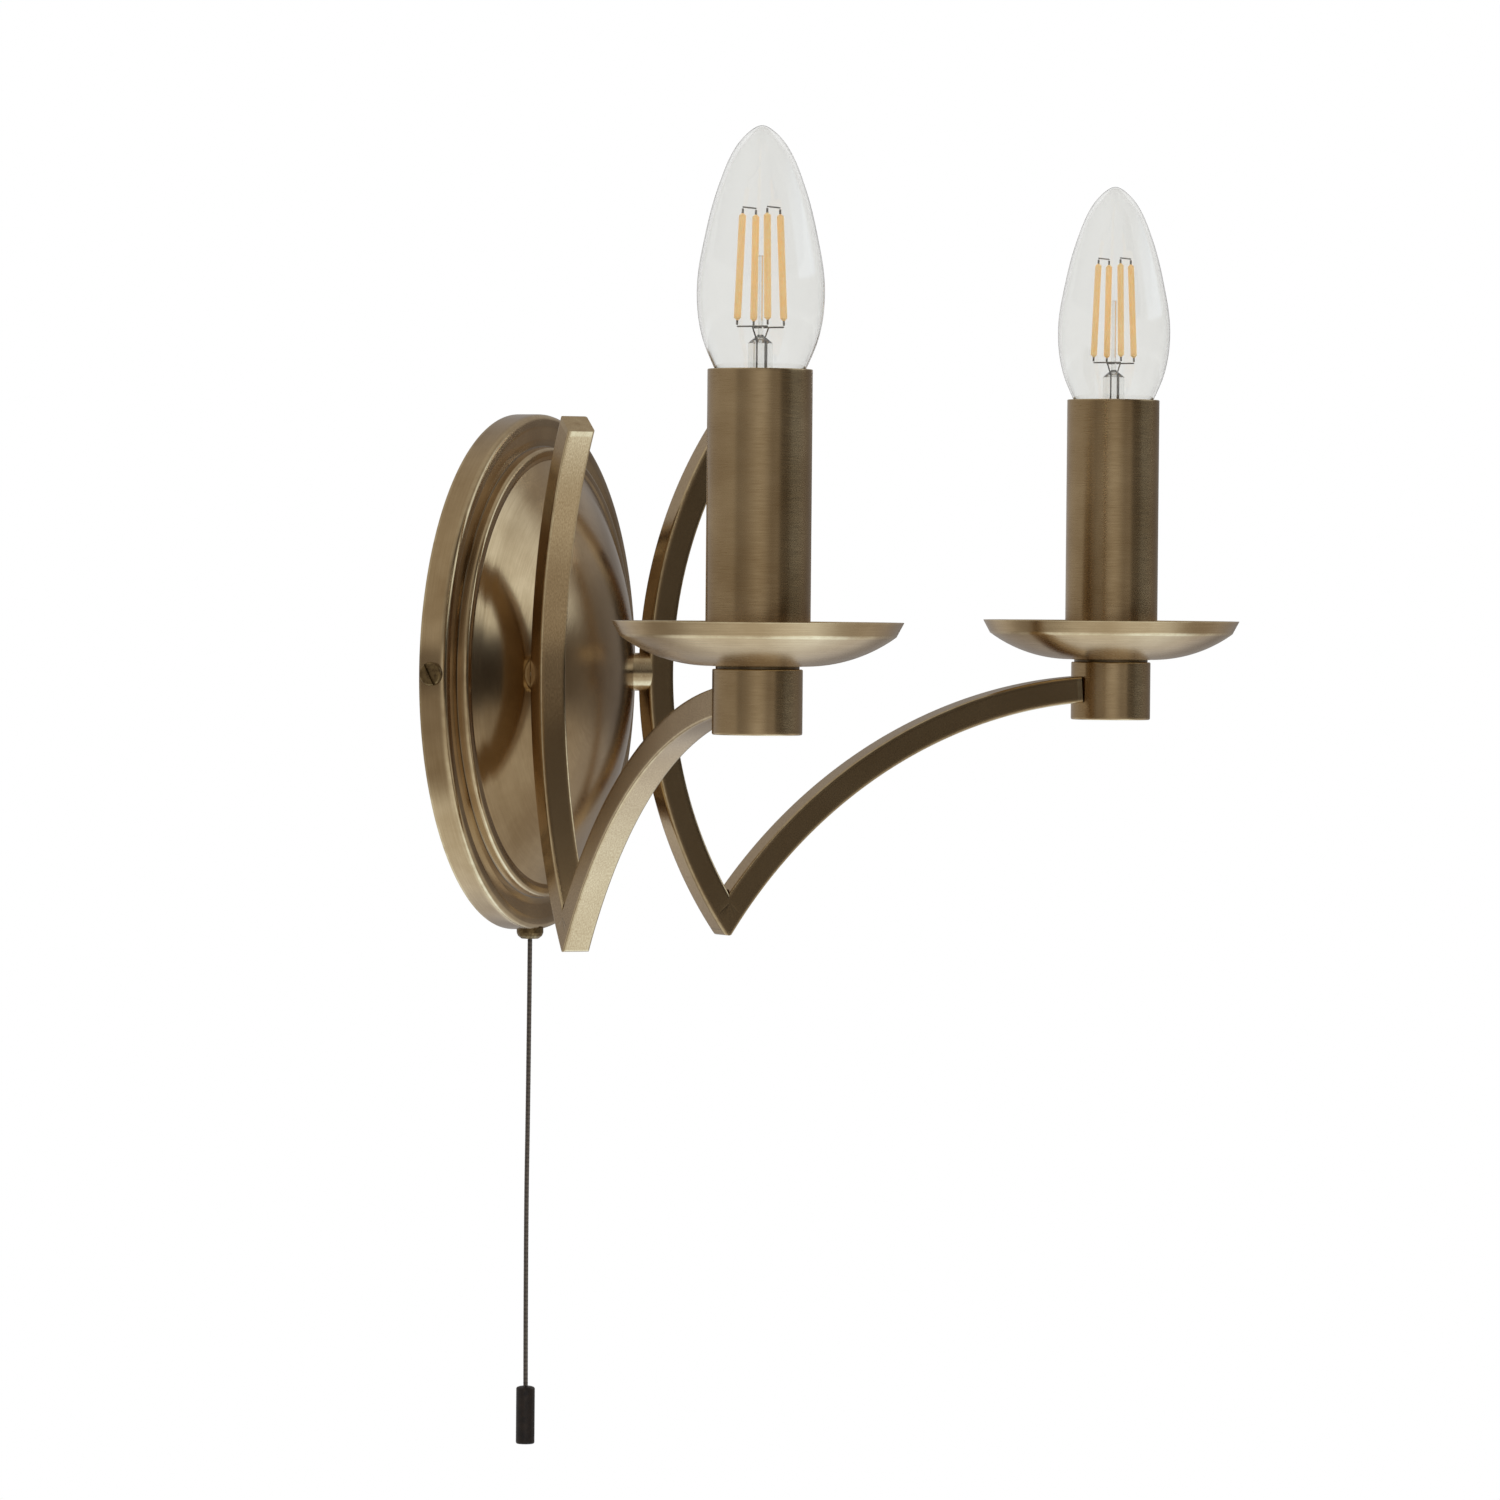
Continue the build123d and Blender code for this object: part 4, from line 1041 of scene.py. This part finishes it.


# %% [markdown]
# ## Glass, amber phosphor and small metal
# The filaments are strips of light-emitting chips under an amber silicone coat.  Unlit, the coat
# looks orange and a little translucent; daylight excites a faint yellow in it, and here that is a
# steady painted glow, lit or not.  The glass is plain soda glass; its colour is left a hair under
# white, partly its own faint tint and partly painted shade for the grey that a thin wall seen edge
# on takes.  The small metals have no brushing: the rolled cap is pale and smooth, the wires,
# solder and plated steel are duller and cloudy, and the weight is nearly black under its lacquer.

# %% Bulb materials
clear_glass, tree = new_material("clear blown glass")
finish_with(
    tree,
    # a hair under white: partly the glass's own faint tint, partly painted shade for its grey
    {"Base Color": tone("#F1F1EF"), "Roughness": 0.02, "IOR": 1.5, "Transmission Weight": 1.0},
)
amber_coat, tree = new_material("amber silicone coat over chips")
solid = add(tree, "TexCoord").outputs["Object"]
chips = add(tree, "TexNoise", {"Vector": solid, "Scale": 900.0, "Detail": 2.0})
finish_with(
    tree,
    {
        "Base Color": add(tree, "MixRGB", [chips, tone("#FFCC74"), tone("#FFE4B4")]),
        "Roughness": 0.35,
        "IOR": 1.41,
        # a faint painted glow: the unlit coat shines a little of its own, whatever the light
        "Emission Color": tone("#FFD08C"),
        "Emission Strength": 0.34,
        "Subsurface Weight": 0.3,
        "Subsurface Scale": 0.001,
    },
)


def plain_metal(name, light, dark, roughness, cloud_mm, metallic=1.0, relief=0.05):
    """A metal finish with no direction: cloudy tone and a little unevenness in its gloss."""
    material, tree = new_material(name)
    sockets = {"Scale": 1 / (cloud_mm * MM), "Detail": 5.0, "Roughness": 0.6}
    sockets["Vector"] = add(tree, "TexCoord").outputs["Object"]
    clouds = add(tree, "TexNoise", sockets)
    share = add(tree, "MapRange", [clouds, 0.32, 0.68])
    finish_with(
        tree,
        {
            "Base Color": add(tree, "MixRGB", [share, tone(dark), tone(light)]),
            "Metallic": metallic,
            "Roughness": add(
                tree, "MapRange", [clouds, 0.3, 0.7, roughness + 0.07, roughness - 0.05]
            ),
            "Normal": add(
                tree, "Bump", {"Strength": relief, "Distance": 0.0001, "Height": clouds}
            ),
        },
    )
    return material


nickel_cap = plain_metal("rolled nickel-plated cap", "#C9C6BF", "#B3AFA6", 0.28, 3.0)
zinc_steel = plain_metal("zinc plated steel", "#C6C8CB", "#A3A6AA", 0.38, 4.0)
lead_metal = plain_metal("drawn nickel-iron wire", "#8F8A82", "#6E6961", 0.4, 1.0)
solder_metal = plain_metal("dull solder", "#B4B4B2", "#8F8F8E", 0.5, 0.8, relief=0.3)
plain_brass = plain_metal("plain drawn brass", "#D9BE7C", "#BFA261", 0.3, 3.0)
bronze_weight = plain_metal(
    "dark bronze lacquer", "#2E241C", "#1B1511", 0.38, 2.0, metallic=0.35, relief=0.1
)
dull_brass = plain_metal("antique brass screw", "#8C7650", "#5B4931", 0.36, 1.2, relief=0.2)

# %% Both lamps
LAMP_PIECES = (
    ("cup_turned", cup_outline, "antique_brass", turned_brass, "lamp_cup"),
    ("collar_turned", collar_outline, "dark_collar", collar_brass, "cup_collar"),
    ("dish_spun", dish_outline, "antique_brass", turned_brass, "drip_dish"),
    ("candle_sleeve", tube_outline, "candle_brass", tube_brass, "candle_tube"),
)
for name, side in ARM_SIDES:
    x, y = side * LAMP_X, LAMP_Y
    foot = (x, y, 0)
    for piece, outline, slot, material, node in LAMP_PIECES:
        grid = turned(outline, foot, 192)
        surface(f"{name}_{piece}", [grid], "fixture", material, [f"{name}_{node}"])
    tops, feet = filament_ends(x, y)
    ways = (tops - feet) / np.linalg.norm(tops - feet, axis=1)[:, None]
    glass_grid = turned(glass_outline, foot, 128)
    stem_grid = turned(stem_outline, foot, 40, closed=False)
    cap_grid = threaded_cap((x, y, CAP_BOTTOM))
    sticks = [
        rod(feet[k] + 1.2 * ways[k], tops[k] - 1.2 * ways[k], FILAMENT_RADIUS, 16, 0.8)
        for k in range(4)
    ]
    wiring = filament_wiring(x, y, tops, feet, ways)
    for piece, grids, slot, material, node, sharp in (
        ("glass_envelope", [glass_grid], "bulb_glass", clear_glass, "glass", 80),
        ("glass_stem", [stem_grid], "bulb_glass", clear_glass, "stem", 38),
        ("screw_cap", [cap_grid], "cap_nickel", nickel_cap, "cap", 50),
        ("filament_sticks", sticks, "filament", amber_coat, "filaments", 38),
        ("filament_wires", wiring, "lead_wire", lead_metal, "leads", 38),
    ):
        replaced = [f"{name}_bulb_{node}"]
        surface(f"{name}_{piece}", grids, f"{name}_bulb", material, replaced, sharp)

# %% [markdown]
# ## Pull cord
# The cord is a fixed 134 mm of fine braid that hangs from the switch's nozzle and is kept
# straight by its weight.  Its line is a spline through the route's own control points.  The braid
# is a tube round that line whose surface swells where the strands cross: two families of strands
# wind opposite ways, and their sines multiplied give the diamond pattern.

# %% Cord's line
CORD_EXIT = (0.0, -0.0043, -0.0798)
CORD_DIAMETER = 0.00145
CORD_ROUTE = [
    CORD_EXIT,
    (0.0001, -0.00415, -0.121939),
    (-0.0001, -0.00375, -0.16703),
    (0.0, -0.00405, -0.2140),
]
cord_curve = bpy.data.curves.new("cord_line", "CURVE")
cord_curve.dimensions = "3D"
cord_curve.resolution_u = 24
line = cord_curve.splines.new("NURBS")
line.points.add(len(CORD_ROUTE) - 1)
for point, place in zip(line.points, CORD_ROUTE):
    point.co = (*place, 1)
line.order_u = 3
line.use_endpoint_u = True
line_object = bpy.data.objects.new("cord_line", cord_curve)
line_mesh = bpy.data.meshes.new_from_object(line_object)
cord_path = np.array([v.co[:] for v in line_mesh.vertices])
bpy.data.objects.remove(line_object)
bpy.data.curves.remove(cord_curve)
print("cord path", len(cord_path), "points")

# %% Braided tube
BRAID_PITCH_MM = 5.2
STRANDS = 4
ROWS = 900


def braided_tube(path, radius, relief):
    """Grid round a path: radius * (1 - relief + relief * |sin p| * |sin q|), in millimetres.

    p and q are the phases of the strands that wind one way and the other.
    """
    path = path / MM
    steps = np.linalg.norm(np.diff(path, axis=0), axis=1)
    at = np.concatenate([[0], np.cumsum(steps)])
    s = np.linspace(0, at[-1], ROWS)
    middle = np.stack([np.interp(s, at, path[:, k]) for k in range(3)], -1)
    ahead = np.gradient(middle, axis=0)
    ahead /= np.linalg.norm(ahead, axis=1)[:, None]
    first = np.cross(ahead, (0, 1, 0))
    first /= np.linalg.norm(first, axis=1)[:, None]
    second = np.cross(ahead, first)
    sides = 32
    a = np.linspace(0, 2 * math.pi, sides, endpoint=False)[None, :]
    turn = STRANDS * a / 2
    climb = math.pi * STRANDS * s[:, None] / BRAID_PITCH_MM
    weave = np.abs(np.sin(turn + climb)) * 0.5 + np.abs(np.sin(turn - climb)) * 0.5
    swell = radius * (1 - relief + relief * weave)
    swell[[0, -1]] = 0
    spokes = np.cos(a)[..., None] * first[:, None] + np.sin(a)[..., None] * second[:, None]
    points = middle[:, None] + swell[..., None] * spokes
    around = np.ones((ROWS, 1)) * np.linspace(0, 1, sides + 1)
    along = (s[:, None] * MM) * np.ones(sides + 1)
    return points, around, along


# %% [markdown]
# The cord's colour follows the same two families of strands: where their sines have the same
# sign one strand lies on top and looks lighter, and elsewhere it is in the other's shade.

# %% Braid
braid, tree = new_material("fine braided polyester cord")
measure = add(tree, "SeparateXYZ", [add(tree, "UVMap", uv_map="measure")]).outputs
per_metre = math.pi * STRANDS / (BRAID_PITCH_MM * MM)
turn = add(tree, "Math", [measure["X"], math.pi * STRANDS], operation="MULTIPLY")
climb = add(tree, "Math", [measure["Y"], per_metre], operation="MULTIPLY")
one_way = add(tree, "Math", [turn, climb], operation="ADD")
other_way = add(tree, "Math", [turn, climb], operation="SUBTRACT")
sines = [add(tree, "Math", [way], operation="SINE") for way in (one_way, other_way)]
crossing = add(tree, "Math", sines, operation="MULTIPLY")
on_top = add(tree, "MapRange", [crossing, -0.7, 0.7])
finish_with(
    tree,
    {
        "Base Color": add(tree, "MixRGB", [on_top, tone("#3B332C"), tone("#5F564C")]),
        "Roughness": 0.75,
        "Sheen Weight": 0.25,
        "Sheen Roughness": 0.4,
    },
)
cord_piece = surface(
    "braided_cord",
    [braided_tube(cord_path, 1000 * CORD_DIAMETER / 2, 0.16)],
    "cord",
    braid,
    ["pull_cord"],
    sharp=80,
)

# %% Ferrule and weight
ferrule_outline = rounded(
    [
        (1.25, -79.8),
        (2.5, -79.8, 0.3),
        (3.6, -78.95, 0.8),
        (4.0, -78.0, 0.6),
        (4.0, -76.4),
        (2.05, -76.4),
        (2.05, -78.8),
        (1.25, -78.8),
    ]
)
surface(
    "cord_ferrule",
    [turned(ferrule_outline, (0, -4.3, 0), 48)],
    "fixture",
    dull_brass,
    ["switch_ferrule"],
)
WEIGHT_TOP = -214.0
weight_outline = rounded(
    [
        (0, WEIGHT_TOP),
        (1.7, WEIGHT_TOP, 0.3),
        (2.8, WEIGHT_TOP - 0.35, 0.7),
        (2.8, WEIGHT_TOP - 17.3, 0.6),
        (0, WEIGHT_TOP - 17.3),
    ],
    closed=False,
)
weight_piece = surface(
    "cord_weight",
    [turned(weight_outline, (0, -4.05, 0), 48, closed=False)],
    "cord",
    bronze_weight,
    ["pull_weight"],
)

# %% [markdown]
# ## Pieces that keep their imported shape
# Strap, switch, terminals and lampholders are hidden, or show only from behind.  Their packed
# shapes are fine as they are, so each only gets a finish: zinc plated steel, moulded plastic with
# a fine spark-eroded grain, and soft PVC.


# %% Moulded plastics
def moulded(name, colour, dark, roughness, grain_mm):
    """Moulded plastic: a fine even grain in its relief and a slight drift of tone."""
    material, tree = new_material(name)
    solid = add(tree, "TexCoord").outputs["Object"]
    grain = add(tree, "TexNoise", {"Vector": solid, "Scale": 1 / (grain_mm * MM), "Detail": 2.0})
    drift = add(tree, "TexNoise", {"Vector": solid, "Scale": 60.0, "Detail": 3.0})
    finish_with(
        tree,
        {
            "Base Color": add(tree, "MixRGB", [drift, tone(dark), tone(colour)]),
            "Roughness": roughness,
            "IOR": 1.5,
            "Normal": add(
                tree, "Bump", {"Strength": 0.15, "Distance": 0.00005, "Height": grain}
            ),
        },
    )
    return material


DRESSED = {
    "zinc_steel": zinc_steel,
    "screw_brass": plain_brass,
    "contact_brass": plain_brass,
    "solder": solder_metal,
    "antique_brass": dull_brass,
    "block_plastic": moulded("moulded terminal nylon", "#E9E7DC", "#DAD7CA", 0.55, 0.25),
    "wire_sheath": moulded("brown PVC sheath", "#6B4F3A", "#574030", 0.45, 0.4),
    "switch_plastic": moulded("moulded switch ABS", "#ECEAE3", "#DEDBD2", 0.5, 0.3),
    "holder_plastic": moulded("heat-proof moulded resin", "#E6E2D3", "#D6D1BF", 0.6, 0.3),
    "bulb_insulator": moulded("dark fused glass", "#17181B", "#0E0F11", 0.15, 1.0),
    "pull_cord": braid,
}
dressed = 0
for row in frame["record"]["subparts"]:
    node = bpy.data.objects.get(row["node"])
    material = DRESSED.get(row["material_slot"])
    if node is not None and material is not None and node.data.materials:
        node.data.materials[0] = material
        dressed += 1
print("dressed", dressed, "nodes")
